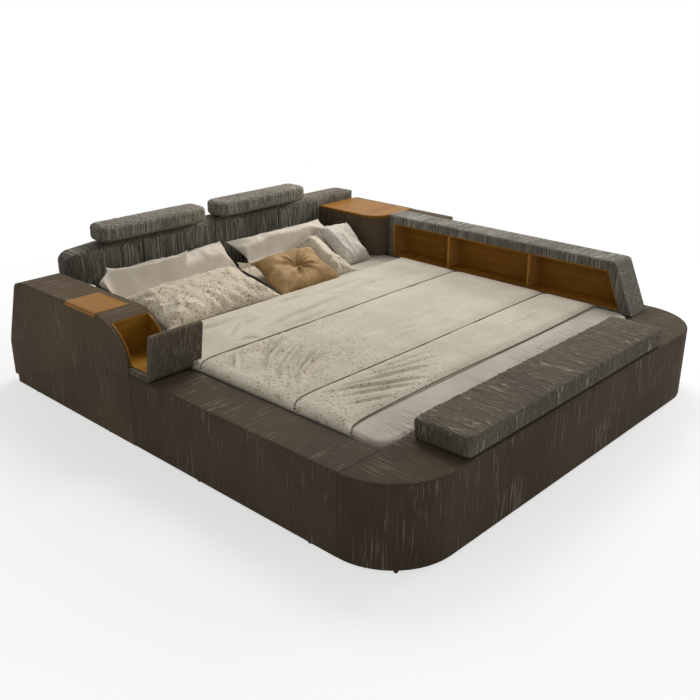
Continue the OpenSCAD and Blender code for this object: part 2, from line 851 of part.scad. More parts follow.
module left_nightstand_inlay() {
    color(wood_colour) place() intersection() {
        block([0, inlay_y0, left_top_h - cover_t], [inlay_w, inlay_y0 + inlay_len, base_len]);
        along_y(inlay_y0, inlay_y0 + inlay_len)
            polygon(round_top_points(0, rail_w, 0, left_top_h + 1, edge_r));
    }
}

// Wood lining of the bin: head wall, two curved sides and a thin floor
module magazine_bin_lining() {
    band = 3;
    floor_z = bin_floor_z;
    x0 = cover_t;
    x1 = rail_w - cover_t;
    head_z = left_top_h - 24;
    color(wood_colour) place() {
        block([x0, bin_head - lining_t, floor_z], [x1, bin_head, head_z]);
        for (x = [x0, x1 - lining_t])
            along_x(x, x + lining_t) intersection() {
                left_profile(-band, floor_z);
                translate([0, floor_z]) square([bin_head - lining_t, head_z - floor_z]);
            }
        block([x0 + lining_t, bin_bend_y, floor_z],
              [x1 - lining_t, bin_head - lining_t, floor_z + 4]);
    }
}

module magazine_bin_floor() {
    color(fabric_colour) place() {
        block([0, bin_bend_y, base_h], [rail_w, left_start, bin_floor_z]);
        block([cover_t, left_start, base_h], [rail_w - cover_t, bin_head, bin_floor_z]);
    }
}

// The front board bends up from the floor and leans outwards
module magazine_bin_front() {
    z1 = left_top_h - 7;
    mould_z1 = z1 + 12;
    mould_y0 = bin_foot - 60;
    r = bin_front_r;
    small = 10;
    centre = [bin_bend_y, base_h + bin_bend_r];
    inner_r = bin_bend_r - bin_board_t;
    turn = 180 + bin_lean;
    rise = (z1 - centre[1] + bin_bend_r * sin(bin_lean)) / cos(bin_lean) - bin_board_t / 4;
    function at(radius, up) = [centre[0] - radius * cos(bin_lean) - up * sin(bin_lean),
                               centre[1] - radius * sin(bin_lean) + up * cos(bin_lean)];
    crown = at(bin_bend_r - bin_board_t / 2, rise);
    quilt_clear = bedding_z + quilt_t + 3;
    color(fabric_colour) place() difference() {
        intersection() {
            along_x(0, bin_front_w) polygon(concat(
                arc_points(centre, bin_bend_r, bin_bend_r, 270, turn, 6),
                arc_points(crown, bin_board_t / 2, bin_board_t / 2, turn, bin_lean, 6),
                arc_points(centre, inner_r, inner_r, turn, 270, 3)
            ));
            along_y(mould_y0, bin_bend_y + past) polygon(concat(
                arc_points([small, base_h + small], small, small, 270, 180, 4),
                arc_points([small, mould_z1 - small], small, small, 180, 90, 4),
                arc_points([bin_front_w - small, mould_z1 - small], small, small, 90, 0, 4),
                arc_points([bin_front_w - r, base_h + r], r, r, 0, -90)
            ));
        }
        block([x_left - past, mould_y0, 0], [x_left + rail_w, left_start, quilt_clear]);
    }
}

// Right nightstand

// Plan of the right nightstand, drawn in by an inset
module right_plan(inset, x1) {
    x0 = x_right - right_overhang + inset;
    y0 = right_start + inset;
    r = right_corner_r - inset;
    polygon(concat(
        [[x1, y0], [x1, right_end - inset], [x0, right_end - inset]],
        arc_points([x0 + r, y0 + r], r, r, 180, 270, 12)
    ));
}

module right_nightstand_cover() {
    color(fabric_colour) place() difference() {
        union() {
            translate([0, 0, right_under]) linear_extrude(wood_under - right_under)
                right_plan(0, base_w);
            block([x_right, right_start, base_h], [base_w, right_end, right_under]);
            block([base_w - return_lip, right_start, wood_under - past],
                  [base_w, right_end, shelf_top_h]);
        }
        translate([0, 0, right_under + cover_t]) linear_extrude(wood_under)
            right_plan(cover_t, base_w - max(cover_t, return_lip));
        block([x_right + cover_t, right_start + cover_t, base_h - past],
              [base_w - cover_t, right_end - cover_t, right_under + cover_t + past]);
    }
}

module right_nightstand_carcass() {
    z0 = right_under + cover_t;
    color(board_colour) place() difference() {
        union() {
            translate([0, 0, z0]) linear_extrude(wood_under - z0)
                right_plan(cover_t + fit_gap, base_w - cover_t);
            block([x_right + cover_t, right_start + cover_t + fit_gap, base_h],
                  [base_w - cover_t, right_end - cover_t - fit_gap, z0]);
        }
        translate([0, 0, z0 + board_t]) linear_extrude(wood_under - z0 - 2 * board_t)
            right_plan(cover_t + fit_gap + board_t, base_w - cover_t - board_t);
        block([x_right + cover_t + board_t, right_start + cover_t + board_t, base_h - past],
              [base_w - cover_t - board_t, right_end - cover_t - board_t, z0 + board_t + past]);
    }
}

module right_nightstand_top() {
    color(wood_colour) place() translate([0, 0, wood_under]) linear_extrude(wood_top_t)
        right_plan(0, base_w - return_lip);
}

// Upholstered return beside the shelf, standing on the right rail
module right_side_return() {
    y0 = right_start - return_reach;
    color(fabric_colour) place() difference() {
        along_y(y0, right_start)
            polygon(round_top_points(shelf_x1, base_w, base_h, shelf_top_h, edge_r));
        block([shelf_x1 + cover_t, y0 + cover_t, base_h - past],
              [base_w - cover_t, right_start - cover_t, shelf_top_h - cover_t]);
    }
}

// Side shelf, drawn as Y and Z

shelf_slope = shelf_lean / (shelf_top_h - base_h);
cavity_z0 = base_h + shelf_sill;
cavity_z1 = shelf_top_h - shelf_band;
cavity_head = shelf_end - shelf_head_frame;
function shelf_face_y(z) = shelf_start + (z - base_h) * shelf_slope;
function cavity_foot_y(z) = shelf_face_y(z) + shelf_foot_frame;

// Outline of the compartments, drawn in by an inset
function cavity_points(inset) =
    let (shift = inset * sqrt(1 + shelf_slope * shelf_slope),
         z0 = cavity_z0 + inset,
         z1 = cavity_z1 - inset)
        [[cavity_foot_y(z0) + shift, z0], [cavity_foot_y(z1) + shift, z1],
         [cavity_head - inset, z1], [cavity_head - inset, z0]];

module shelf_cover() {
    r = 30;
    lean = atan(shelf_slope);
    top_y = shelf_face_y(shelf_top_h);
    reach = r * tan((90 - lean) / 2);
    color(fabric_colour) place() difference() {
        intersection() {
            along_x(x_right, shelf_x1) polygon(concat(
                [[shelf_face_y(base_h), base_h]],
                arc_points([top_y + reach, shelf_top_h - r], r, r, 180 - lean, 90, 6),
                [[shelf_end, shelf_top_h], [shelf_end, base_h]]
            ));
            along_y(shelf_start, shelf_end)
                polygon(round_top_points(x_right, shelf_x1, base_h - past, shelf_top_h, edge_r));
        }
        along_x(x_right - past, x_right + shelf_depth) polygon(cavity_points(0));
    }
}

module shelf_back_panel() {
    color(wood_colour) place()
        along_x(x_right + shelf_depth - lining_t, x_right + shelf_depth)
            polygon(cavity_points(0));
}

// One side of the lining between the outer and the inner outline
module lining_side(a, b) {
    outer = cavity_points(0);
    inner = cavity_points(lining_t);
    color(wood_colour) place() along_x(x_right, x_right + shelf_depth - lining_t)
        polygon([outer[a], outer[b], inner[b], inner[a]]);
}

module shelf_foot_panel() {
    lining_side(0, 1);
}

module shelf_top_panel() {
    lining_side(1, 2);
}

module shelf_head_panel() {
    lining_side(2, 3);
}

module shelf_floor_panel() {
    lining_side(3, 0);
}

module shelf_dividers() {
    setback = 4;
    head_face = cavity_head - lining_t;
    ys = [head_face - bay_lens[0] - divider_t,
          head_face - bay_lens[0] - bay_lens[1] - 2 * divider_t];
    color(wood_colour) place() for (y = ys)
        block([x_right + setback, y, cavity_z0 + lining_t],
              [x_right + shelf_depth - lining_t, y + divider_t, cavity_z1 - lining_t]);
}

// Headboard

// Front view of the headboard, as X and Z, drawn in by an inset
module headboard_outline(inset) {
    x0 = headboard_x0 + inset;
    x1 = headboard_x1 - inset;
    top = headboard_top - inset;
    foot = base_h + soft_gap;
    slope = wing_drop / wing_len;
    shift = inset * sqrt(1 + slope * slope);
    knee = [headboard_x0 + wing_len + inset, wing_tip_h - wing_drop - inset * slope + shift];
    polygon(concat(
        [[knee[0], foot], knee, [x0, wing_tip_h - inset * slope + shift]],
        arc_points([x0 + 55, top - headboard_dip - 45], 55, 45, 180, 90, 8),
        [[x0 + 320, top]],
        arc_points([x1 - 150, top - 35], 150, 35, 90, 0, 8),
        [[x1, foot]]
    ));
}

module headboard_padding() {
    front_r = 45;
    back_r = 15;
    end_r = 55;
    y0 = headboard_front;
    y1 = headboard_back;
    color(fabric_colour) place() difference() {
        intersection() {
            along_y(y0, y1) headboard_outline(0);
            along_x(headboard_x0, headboard_x1) polygon(concat(
                [[y0, base_h]],
                arc_points([y0 + front_r, headboard_top - front_r], front_r, front_r, 180, 90),
                arc_points([y1 - back_r, headboard_top - back_r], back_r, back_r, 90, 0, 4),
                [[y1, base_h]]
            ));
            translate([0, 0, base_h]) linear_extrude(headboard_top) polygon(concat(
                [[headboard_x0, y1]],
                arc_points([headboard_x0 + end_r, y0 + end_r], end_r, end_r, 180, 270),
                arc_points([headboard_x1 - end_r, y0 + end_r], end_r, end_r, 270, 360),
                [[headboard_x1, y1]]
            ));
        }
        for (x = seams)
            block([x - groove_w / 2, y0 - past, base_h], [x + groove_w / 2, y0 + groove_d, headboard_top]);
    }
}

module headboard_board() {
    color(board_colour) place()
        along_y(headboard_back, headboard_back + board_t) headboard_outline(headboard_top - board_top);
}

// Steel uprights behind the headboard, standing on the head rail
module headboard_posts() {
    post_y0 = headboard_back + board_t;
    post_y1 = post_y0 + 25;
    post_w = 40;
    plate_w = 80;
    post_x0 = x_left + 500;
    pitch = recess_w / 2 - 500;
    color(steel_colour) place() for (i = [0:2])
        let (x = post_x0 + i * pitch) {
            block([x - post_w / 2, post_y0, base_h], [x + post_w / 2, post_y1, headboard_top - 70]);
            block([x - plate_w / 2, post_y0, base_h], [x + plate_w / 2, base_len - 5, base_h + 5]);
        }
}

// Headrests

arm_w = 20;
ear_t = 4;
ear_gap = 0.3;
headrest_rim = 25;
board_lift = strap_t;
headrest_board_t = 12;
arm_inset = 90;
arm_reach = 100;

// Left edges of the two arms of the headrest that starts at x
function arm_xs(x) = [x + arm_inset, x + headrest_len - arm_inset - arm_w];

module headrest_pad(x) {
    board_z1 = headrest_z0 + board_lift + headrest_board_t;
    place() difference() {
        translate([x + headrest_len / 2, headrest_y0 + headrest_d / 2, headrest_z0])
            soft_slab(headrest_len, headrest_d, headrest_h, 44, 24, 8, 2);
        block([x + headrest_rim, headrest_y0 + headrest_rim, headrest_z0 - past],
              [x + headrest_len - headrest_rim, headrest_y1 - headrest_rim, board_z1 + soft_gap]);
        for (ax = arm_xs(x))
            block([ax - fit_gap, headrest_y1 - headrest_rim - past, headrest_z0 - past],
                  [ax + arm_w + fit_gap, headrest_y1 + past, tilt_z + fit_gap]);
    }
}

module headrest_board(x) {
    place() block([x + headrest_rim + fit_gap, headrest_y0 + headrest_rim + fit_gap, tilt_z],
                  [x + headrest_len - headrest_rim - fit_gap, headrest_y1 - headrest_rim - fit_gap,
                   tilt_z + headrest_board_t]);
}

module headrest_arms(x) {
    place() for (ax = arm_xs(x))
        difference() {
            union() {
                block([ax, headrest_y1 - arm_reach, headrest_z0], [ax + arm_w, tilt_y, tilt_z]);
                translate([ax, tilt_y, tilt_z]) rotate([0, 90, 0]) cylinder(arm_w, tilt_knuckle_r,
                                                                            tilt_knuckle_r);
            }
            translate([ax - past, tilt_y, tilt_z]) rotate([0, 90, 0])
                cylinder(arm_w + 2 * past, tilt_pin_r + pin_gap, tilt_pin_r + pin_gap);
        }
}

module headrest_brackets(x) {
    back = headboard_back + board_t;
    place() for (ax = arm_xs(x))
        difference() {
            union() {
                for (ex = [ax - ear_gap - ear_t, ax + arm_w + ear_gap]) {
                    block([ex, tilt_y - 5, board_top], [ex + ear_t, back + ear_t, tilt_z]);
                    translate([ex, tilt_y, tilt_z]) rotate([0, 90, 0])
                        cylinder(ear_t, tilt_knuckle_r + 1, tilt_knuckle_r + 1);
                }
                block([ax - ear_gap - ear_t, back, board_top - 60],
                      [ax + arm_w + ear_gap + ear_t, back + ear_t, board_top + 6]);
            }
            translate([ax - 20, tilt_y, tilt_z]) rotate([0, 90, 0])
                cylinder(arm_w + 40, tilt_pin_r + pin_gap, tilt_pin_r + pin_gap);
        }
}

module headrest_pins(x) {
    reach = ear_gap + ear_t;
    place() for (ax = arm_xs(x))
        translate([ax - reach, tilt_y, tilt_z]) rotate([0, 90, 0]) {
            cylinder(arm_w + 2 * reach, tilt_pin_r, tilt_pin_r);
            translate([0, 0, -2]) cylinder(2, tilt_pin_r + 2, tilt_pin_r + 2);
            translate([0, 0, arm_w + 2 * reach]) cylinder(2, tilt_pin_r + 2, tilt_pin_r + 2);
        }
}

module headrest_left_pad() {
    color(fabric_colour) headrest_pad(headrest_xs[0]);
}

module headrest_left_board() {
    color(board_colour) headrest_board(headrest_xs[0]);
}

module headrest_left_arms() {
    color(steel_colour) headrest_arms(headrest_xs[0]);
}

module headrest_left_brackets() {
    color(steel_colour) headrest_brackets(headrest_xs[0]);
}

module headrest_left_pins() {
    color(steel_colour) headrest_pins(headrest_xs[0]);
}

module headrest_right_pad() {
    color(fabric_colour) headrest_pad(headrest_xs[1]);
}

module headrest_right_board() {
    color(board_colour) headrest_board(headrest_xs[1]);
}

module headrest_right_arms() {
    color(steel_colour) headrest_arms(headrest_xs[1]);
}

module headrest_right_brackets() {
    color(steel_colour) headrest_brackets(headrest_xs[1]);
}

module headrest_right_pins() {
    color(steel_colour) headrest_pins(headrest_xs[1]);
}

// Bench lid

knuckle = lid_hinge_len / 3;
lid_hinge_xs = [for (i = [0:2]) lid_x0 + 120 + i * (lid_len - 240 - lid_hinge_len) / 2];
lid_board_y0 = lid_front + lid_rim;
lid_board_y1 = lid_back - lid_rim;

module lid_cushion() {
    color(fabric_colour) place() difference() {
        translate([lid_x0 + lid_len / 2, lid_front + lid_depth / 2, lid_base])
            soft_slab(lid_len, lid_depth, lid_cushion_h, lid_corner_r, 10, 5, 1.5);
        block([lid_x0 + lid_rim - soft_gap, lid_board_y0 - soft_gap, lid_base - past],
              [lid_x1 - lid_rim + soft_gap, lid_board_y1 + soft_gap,
               lid_under + lid_board_t + soft_gap]);
        for (x = lid_hinge_xs)
            block([x - fit_gap, lid_board_y1 - past, lid_base - past],
                  [x + lid_hinge_len + fit_gap, lid_back + past, lid_under + fit_gap]);
    }
}

module lid_board() {
    color(board_colour) place()
        block([lid_x0 + lid_rim, lid_board_y0, lid_under],
              [lid_x1 - lid_rim, lid_board_y1, lid_under + lid_board_t]);
}

// One hinge leaf: its plate from y0 to y1, and knuckles with the bore for the pin
module leaf(x, y0, y1, z0, spans) {
    difference() {
        union() {
            block([x, y0, z0], [x + lid_hinge_len, y1, z0 + lid_leaf_t]);
            for (span = spans) {
                block([x + span[0], min(y1 - past, lid_axis_y), z0],
                      [x + span[1], max(y0 + past, lid_axis_y), z0 + lid_leaf_t]);
                translate([x + span[0], lid_axis_y, lid_axis_z]) rotate([0, 90, 0])
                    cylinder(span[1] - span[0], lid_knuckle_r, lid_knuckle_r);
            }
        }
        translate([x - past, lid_axis_y, lid_axis_z]) rotate([0, 90, 0])
            cylinder(lid_hinge_len + 2 * past, lid_pin_r + pin_gap, lid_pin_r + pin_gap);
    }
}

module lid_hinge_leaves() {
    color(steel_colour) place() for (x = lid_hinge_xs)
        leaf(x, lid_board_y1 - 25, lid_axis_y - lid_knuckle_r, lid_under - lid_leaf_t,
             [[knuckle + ear_gap, 2 * knuckle - ear_gap]]);
}

module box_hinge_leaves() {
    color(steel_colour) place() for (x = lid_hinge_xs)
        leaf(x, lid_axis_y + lid_knuckle_r + fit_gap, y_foot - 2, base_h,
             [[0, knuckle], [2 * knuckle, lid_hinge_len]]);
}

module lid_hinge_pins() {
    color(steel_colour) place() for (x = lid_hinge_xs)
        translate([x, lid_axis_y, lid_axis_z]) rotate([0, 90, 0]) {
            cylinder(lid_hinge_len, lid_pin_r, lid_pin_r);
            translate([0, 0, -1.5]) cylinder(1.5, lid_pin_r + 1.2, lid_pin_r + 1.2);
            translate([0, 0, lid_hinge_len]) cylinder(1.5, lid_pin_r + 1.2, lid_pin_r + 1.2);
        }
}

module lid_bumpers() {
    color(plastic_colour) place() for (i = [0:3])
        translate([lid_x0 + 60 + i * (lid_len - 120) / 3, lid_board_y0 + 8, base_h])
            cylinder(lid_under - base_h, 7, 6, $fn = 24);
}

foot_cover();
foot_carcass();
left_rail_cover();
left_rail_carcass();
right_rail_cover();
right_rail_carcass();
head_rail_cover();
head_rail_carcass();
base_glides();
module_bolts();
side_ledgers();
centre_beam();
beam_legs();
slats();
mattress();
fitted_sheet();
quilt();
pillow_left_back();
pillow_left_side();
pillow_left_front();
pillow_right_back();
pillow_right_side();
pillow_right_front();
knotted_cushion();
left_nightstand_cover();
left_nightstand_carcass();
left_nightstand_inlay();
magazine_bin_lining();
magazine_bin_floor();
magazine_bin_front();
right_nightstand_cover();
right_nightstand_carcass();
right_nightstand_top();
right_side_return();
shelf_cover();
shelf_back_panel();
shelf_floor_panel();
shelf_top_panel();
shelf_head_panel();
shelf_foot_panel();
shelf_dividers();
headboard_board();
headboard_padding();
headboard_posts();
headrest_left_pad();
headrest_left_board();
headrest_left_arms();
headrest_left_brackets();
headrest_left_pins();
headrest_right_pad();
headrest_right_board();
headrest_right_arms();
headrest_right_brackets();
headrest_right_pins();
lid_cushion();
lid_board();
lid_hinge_leaves();
box_hinge_leaves();
lid_hinge_pins();
lid_bumpers();
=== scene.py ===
import math

import bmesh
import bpy
import numpy as np
from mathutils import Matrix, Vector, noise


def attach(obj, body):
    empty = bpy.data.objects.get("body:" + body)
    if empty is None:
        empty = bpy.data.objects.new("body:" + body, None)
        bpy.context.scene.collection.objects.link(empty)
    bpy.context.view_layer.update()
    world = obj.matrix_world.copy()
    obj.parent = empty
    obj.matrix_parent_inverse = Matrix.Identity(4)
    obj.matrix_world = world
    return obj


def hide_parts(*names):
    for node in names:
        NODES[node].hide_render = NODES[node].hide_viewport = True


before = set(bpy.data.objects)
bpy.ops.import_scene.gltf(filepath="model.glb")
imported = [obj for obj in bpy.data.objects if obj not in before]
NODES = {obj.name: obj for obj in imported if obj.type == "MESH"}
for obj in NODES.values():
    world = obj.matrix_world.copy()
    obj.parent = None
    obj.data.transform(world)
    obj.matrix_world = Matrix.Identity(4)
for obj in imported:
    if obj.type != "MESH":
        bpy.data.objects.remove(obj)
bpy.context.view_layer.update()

# Middle of the part's source, in millimetres
MID_X, MID_Y = 1133, 1250
# Points nearer than WELD, in metres, are one, and so are faces that meet at less than FLAT
WELD, FLAT = 1e-5, math.radians(1.5)
# Edges sharper than this stay crisp under smooth shading
CRISP = math.radians(38)


def at(x, y, z):
    """A point of the part's source, in millimetres, as metres in this frame."""
    return Vector(((x - MID_X) / 1000, (y - MID_Y) / 1000, z / 1000))


def tint(r, g, b):
    """A colour as it is seen, 0 to 255, made linear."""
    def one(c):
        c /= 255
        return c / 12.92 if c < 0.04045 else ((c + 0.055) / 1.055) ** 2.4
    return (one(r), one(g), one(b), 1.0)


def toned(colour, share):
    """A seen colour made darker or lighter, as a linear one."""
    return tint(*[c * share for c in colour])


# Materials

class Mat:
    """A node material under construction."""

    def __init__(self, name, roughness, **values):
        self.mat = bpy.data.materials.new(name)
        self.mat.use_nodes = True
        self.tree = self.mat.node_tree
        self.shader = self.tree.nodes["Principled BSDF"]
        self.shader.inputs["Roughness"].default_value = roughness
        for key, value in values.items():
            self.shader.inputs[key.replace("_", " ")].default_value = value
        self.coord = self.add("ShaderNodeTexCoord")
        self.flat = self.coord.outputs["Object"]

    def add(self, kind, **props):
        """A new node with these properties."""
        node = self.tree.nodes.new(kind)
        for key, value in props.items():
            setattr(node, key, value)
        return node

    def link(self, a, b):
        """Joins an output to an input."""
        self.tree.links.new(a, b)

    def place(self, scale, offset=(0, 0, 0), vector=None):
        """The object's own coordinates, or another vector, stretched and shifted."""
        node = self.add("ShaderNodeMapping")
        node.inputs["Scale"].default_value = scale
        node.inputs["Location"].default_value = offset
        self.link(vector or self.flat, node.inputs["Vector"])
        return node.outputs["Vector"]

    def noise(self, vector, detail=2.0, rough=0.5, distortion=0.0):
        """Smooth noise round 0.5."""
        node = self.add("ShaderNodeTexNoise")
        node.inputs["Scale"].default_value = 1.0
        node.inputs["Detail"].default_value = detail
        node.inputs["Roughness"].default_value = rough
        node.inputs["Distortion"].default_value = distortion
        self.link(vector, node.inputs["Vector"])
        return node.outputs["Fac"]

    def cells(self, vector, scale):
        """Distance from the nearest of many scattered points."""
        node = self.add("ShaderNodeTexVoronoi")
        node.inputs["Scale"].default_value = scale
        self.link(vector, node.inputs["Vector"])
        return node.outputs["Distance"]

    def ranged(self, value, lo, hi, to_lo=0.0, to_hi=1.0):
        """A value that goes smoothly from to_lo at lo to to_hi at hi."""
        node = self.add("ShaderNodeMapRange", interpolation_type="SMOOTHSTEP")
        for key, number in (("From Min", lo), ("From Max", hi), ("To Min", to_lo), ("To Max", to_hi)):
            node.inputs[key].default_value = number
        self.link(value, node.inputs["Value"])
        return node.outputs["Result"]

    def math(self, operation, a, b=0.0):
        """A sum on two numbers, each given as it is or by a node."""
        node = self.add("ShaderNodeMath", operation=operation)
        for socket, value in zip(node.inputs, (a, b)):
            if isinstance(value, (int, float)):
                socket.default_value = value
            else:
                self.link(value, socket)
        return node.outputs["Value"]

    def blend(self, share, a, b):
        """Number a where share is 0 and b where it is 1."""
        return self.math("ADD", a, self.math("MULTIPLY", share, self.math("SUBTRACT", b, a)))

    def mix(self, share, a, b):
        """Colour a where share is 0 and b where it is 1."""
        node = self.add("ShaderNodeMix", data_type="RGBA")
        self.link(share, node.inputs[0])
        for socket, value in ((node.inputs[6], a), (node.inputs[7], b)):
            if isinstance(value, tuple):
                socket.default_value = value
            else:
                self.link(value, socket)
        return node.outputs[2]

    def facing_up(self):
        """1 on level faces, 0 on upright ones."""
        split = self.add("ShaderNodeSeparateXYZ")
        self.link(self.coord.outputs["Normal"], split.inputs[0])
        return self.ranged(self.math("ABSOLUTE", split.outputs["Z"]), 0.55, 0.85)

    def axis(self, letter):
        """One of the object's own coordinates, in metres."""
        split = self.add("ShaderNodeSeparateXYZ")
        self.link(self.flat, split.inputs[0])
        return split.outputs[letter]

    def bump(self, height, distance):
        """Relief from a height, with its depth in metres."""
        node = self.add("ShaderNodeBump")
        node.inputs["Distance"].default_value = distance
        node.inputs["Strength"].default_value = 1.0
        self.link(height, node.inputs["Height"])
        self.link(node.outputs["Normal"], self.shader.inputs["Normal"])

    def colour(self, socket):
        """Gives the surface its colour."""
        self.link(socket, self.shader.inputs["Base Color"])


def upholstery(name, lie, start, full, ground, fleck, depth, long_step, fine_step, wave=0.5, cluster=0.3):
    """Jacquard with irregular light streaks, upright on upright faces and along lie on flat ones.

    The streaks begin where their noise passes start and are full at full. Steps are in cycles per metre along and
    across a streak, wave bends the streaks, cluster gathers them in patches and depth is the relief in metres.
    """
    m = Mat(name, 0.75, Specular_IOR_Level=0.1)
    upright = m.noise(m.place((fine_step, fine_step, long_step)), 3, 0.6, wave)
    steps = (long_step, fine_step, fine_step) if lie == "X" else (fine_step, long_step, fine_step)
    level = m.noise(m.place(steps, (3.1, 1.7, 0.4)), 3, 0.6, wave)
    streak = m.blend(m.facing_up(), upright, level)
    patch = m.noise(m.place((6, 6, 4)), 2)
    lifted = m.math("ADD", streak, m.math("MULTIPLY", m.math("SUBTRACT", patch, 0.5), cluster))
    mask = m.ranged(lifted, start, full)
    weave = m.noise(m.place((900, 900, 900)), 1)
    worn = m.noise(m.place((2.2, 2.2, 2.2), (0.3, 0.9, 0.1)), 3)
    deep = m.mix(m.ranged(worn, 0.3, 0.7), toned(ground, 0.9), toned(ground, 1.08))
    deep = m.mix(m.ranged(streak, 0.28, 0.5, 0.5, 0.0), deep, toned(ground, 0.72))
    cloth = m.mix(m.math("MULTIPLY", mask, 0.85), deep, tint(*fleck))
    thread = m.noise(m.place((fine_step * 2.6, fine_step * 2.6, long_step * 2)), 1)
    cloth = m.mix(m.ranged(thread, 0.45, 0.75, 0.0, 0.32), cloth, toned(ground, 0.62))
    m.colour(m.mix(m.math("MULTIPLY", weave, 0.25), cloth, toned(ground, 0.8)))
    height = m.math("ADD", streak, m.math("MULTIPLY", mask, 0.45))
    m.bump(m.math("ADD", height, m.math("MULTIPLY", weave, 0.08)), depth)
    return m.mat


def wood(name, along, ground, deep):
    """Honey wood with its grain along an axis."""
    m = Mat(name, 0.42, Specular_IOR_Level=0.1)
    steps = {"X": (3, 55, 55), "Y": (55, 3, 55), "Z": (55, 55, 3)}[along]
    broad = {"X": (1.2, 14, 14), "Y": (14, 1.2, 14), "Z": (14, 14, 1.2)}[along]
    lines = m.noise(m.place(steps), 4, 0.62, 0.6)
    figure = m.noise(m.place(broad, (0.7, 0.2, 0.5)), 2, 0.5, 1.2)
    share = m.math("ADD", m.math("MULTIPLY", m.ranged(lines, 0.35, 0.7), 0.55),
                   m.math("MULTIPLY", m.ranged(figure, 0.3, 0.7), 0.45))
    m.colour(m.mix(share, tint(*deep), tint(*ground)))
    m.bump(lines, 0.0003)
    return m.mat


def linen(name, ground, shade, sprig=None, sprig_mask=None, crease=0.5, size=60, weight=0.9, pleats=None):
    """Washed cotton with soft creases, and small sprigs where a mask lets them through.

    A sprig is two colours for leaves and one for buds, in cells of which size is the number to a metre, and weight is
    how strongly they show. Pleats adds long folds where its share is 1.
    """
    m = Mat(name, 0.85, Sheen_Weight=0.25, Sheen_Roughness=0.5, Specular_IOR_Level=0.25)
    cloud = m.noise(m.place((7, 7, 7)), 3, 0.6)
    cloth = m.mix(m.ranged(cloud, 0.25, 0.75), tint(*shade), tint(*ground))
    weave = m.noise(m.place((1100, 1100, 1100)), 1)
    cloth = m.mix(m.math("MULTIPLY", weave, 0.12), cloth, toned(ground, 0.86))
    if sprig:
        swirl = m.add("ShaderNodeTexNoise")
        swirl.inputs["Scale"].default_value = 14
        m.link(m.flat, swirl.inputs["Vector"])
        offset = m.add("ShaderNodeVectorMath", operation="SCALE")
        m.link(swirl.outputs["Color"], offset.inputs[0])
        offset.inputs["Scale"].default_value = 0.05
        moved = m.add("ShaderNodeVectorMath", operation="ADD")
        m.link(m.flat, moved.inputs[0])
        m.link(offset.outputs[0], moved.inputs[1])
        leaf = m.cells(m.place((1.0, 1.6, 1.0), vector=moved.outputs[0]), size)
        bud = m.cells(m.place((1.5, 1.0, 1.0), (4.2, 1.3, 0), vector=moved.outputs[0]), size * 1.5)
        sprays = m.cells(m.place((1, 1, 1), (0.4, 0.6, 0), vector=moved.outputs[0]), size * 0.21)
        near = m.ranged(sprays, 0.80, 0.45, 0.35, 1.0)
        leaves = m.math("MULTIPLY", m.ranged(leaf, 0.40, 0.24), near)
        buds = m.math("MULTIPLY", m.ranged(bud, 0.36, 0.22), near)
        shown = sprig_mask(m) if sprig_mask else 1.0
        pick = m.ranged(m.noise(m.place((40, 40, 40)), 1), 0.4, 0.6)
        green = m.mix(pick, tint(*sprig[0]), tint(*sprig[1]))
        cloth = m.mix(m.math("MULTIPLY", m.math("MULTIPLY", leaves, shown), weight), cloth, green)
        cloth = m.mix(m.math("MULTIPLY", m.math("MULTIPLY", buds, shown), weight * 0.8), cloth, tint(*sprig[2]))
    m.colour(cloth)
    soft = m.noise(m.place((16, 16, 16)), 4, 0.6, 0.8)
    height = m.math("ADD", m.math("MULTIPLY", soft, crease), m.math("MULTIPLY", weave, 0.03))
    if pleats:
        folds = m.noise(m.place((24, 4, 4)), 3, 0.6, 1.6)
        line = m.math("POWER", m.math("SUBTRACT", 1.0, m.math("ABSOLUTE", m.math("SUBTRACT", folds, 0.5))), 10.0)
        height = m.math("ADD", height, m.math("MULTIPLY", m.math("MULTIPLY", line, pleats(m)), 1.4))
    m.bump(height, 0.006)
    return m.mat


def satin(name, ground, shade):
    """Soft shiny cloth with fine threads."""
    m = Mat(name, 0.55, Sheen_Weight=0.2, Sheen_Roughness=0.3, Specular_IOR_Level=0.2)
    cloud = m.noise(m.place((12, 12, 12)), 3, 0.6)
    m.colour(m.mix(m.ranged(cloud, 0.3, 0.7), tint(*shade), tint(*ground)))
    thread = m.noise(m.place((220, 1500, 900)), 2)
    m.bump(m.math("ADD", m.math("MULTIPLY", m.noise(m.place((22, 22, 22)), 3, 0.6), 0.5),
                  m.math("MULTIPLY", thread, 0.04)), 0.003)
    return m.mat


def plywood(name):
    """Pale plywood, with its layers on upright faces."""
    m = Mat(name, 0.7)
    grain = m.noise(m.place((40, 3, 40)), 4, 0.6, 0.7)
    layers = m.noise(m.place((1, 1, 420)), 1)
    face = m.mix(m.ranged(grain, 0.35, 0.65), tint(196, 160, 112), tint(214, 184, 138))
    m.colour(m.mix(m.math("MULTIPLY", m.math("SUBTRACT", 1.0, m.facing_up()), m.ranged(layers, 0.45, 0.6)),
                   face, tint(150, 112, 74)))
    m.bump(grain, 0.0004)
    return m.mat


def metal(name):
    """Brushed steel."""
    m = Mat(name, 0.34, Metallic=1.0)
    brushed = m.noise(m.place((900, 60, 900)), 2)
    m.colour(m.mix(brushed, tint(128, 130, 134), tint(176, 178, 182)))
    m.bump(brushed, 0.0001)
    return m.mat


def moulded(name, ground, roughness):
    """Plastic, rubber or cord with a fine grain."""
    m = Mat(name, roughness)
    grain = m.noise(m.place((700, 700, 700)), 2)
    m.colour(m.mix(grain, tint(*ground), tint(*[c * 1.35 + 6 for c in ground])))
    m.bump(grain, 0.0002)
    return m.mat


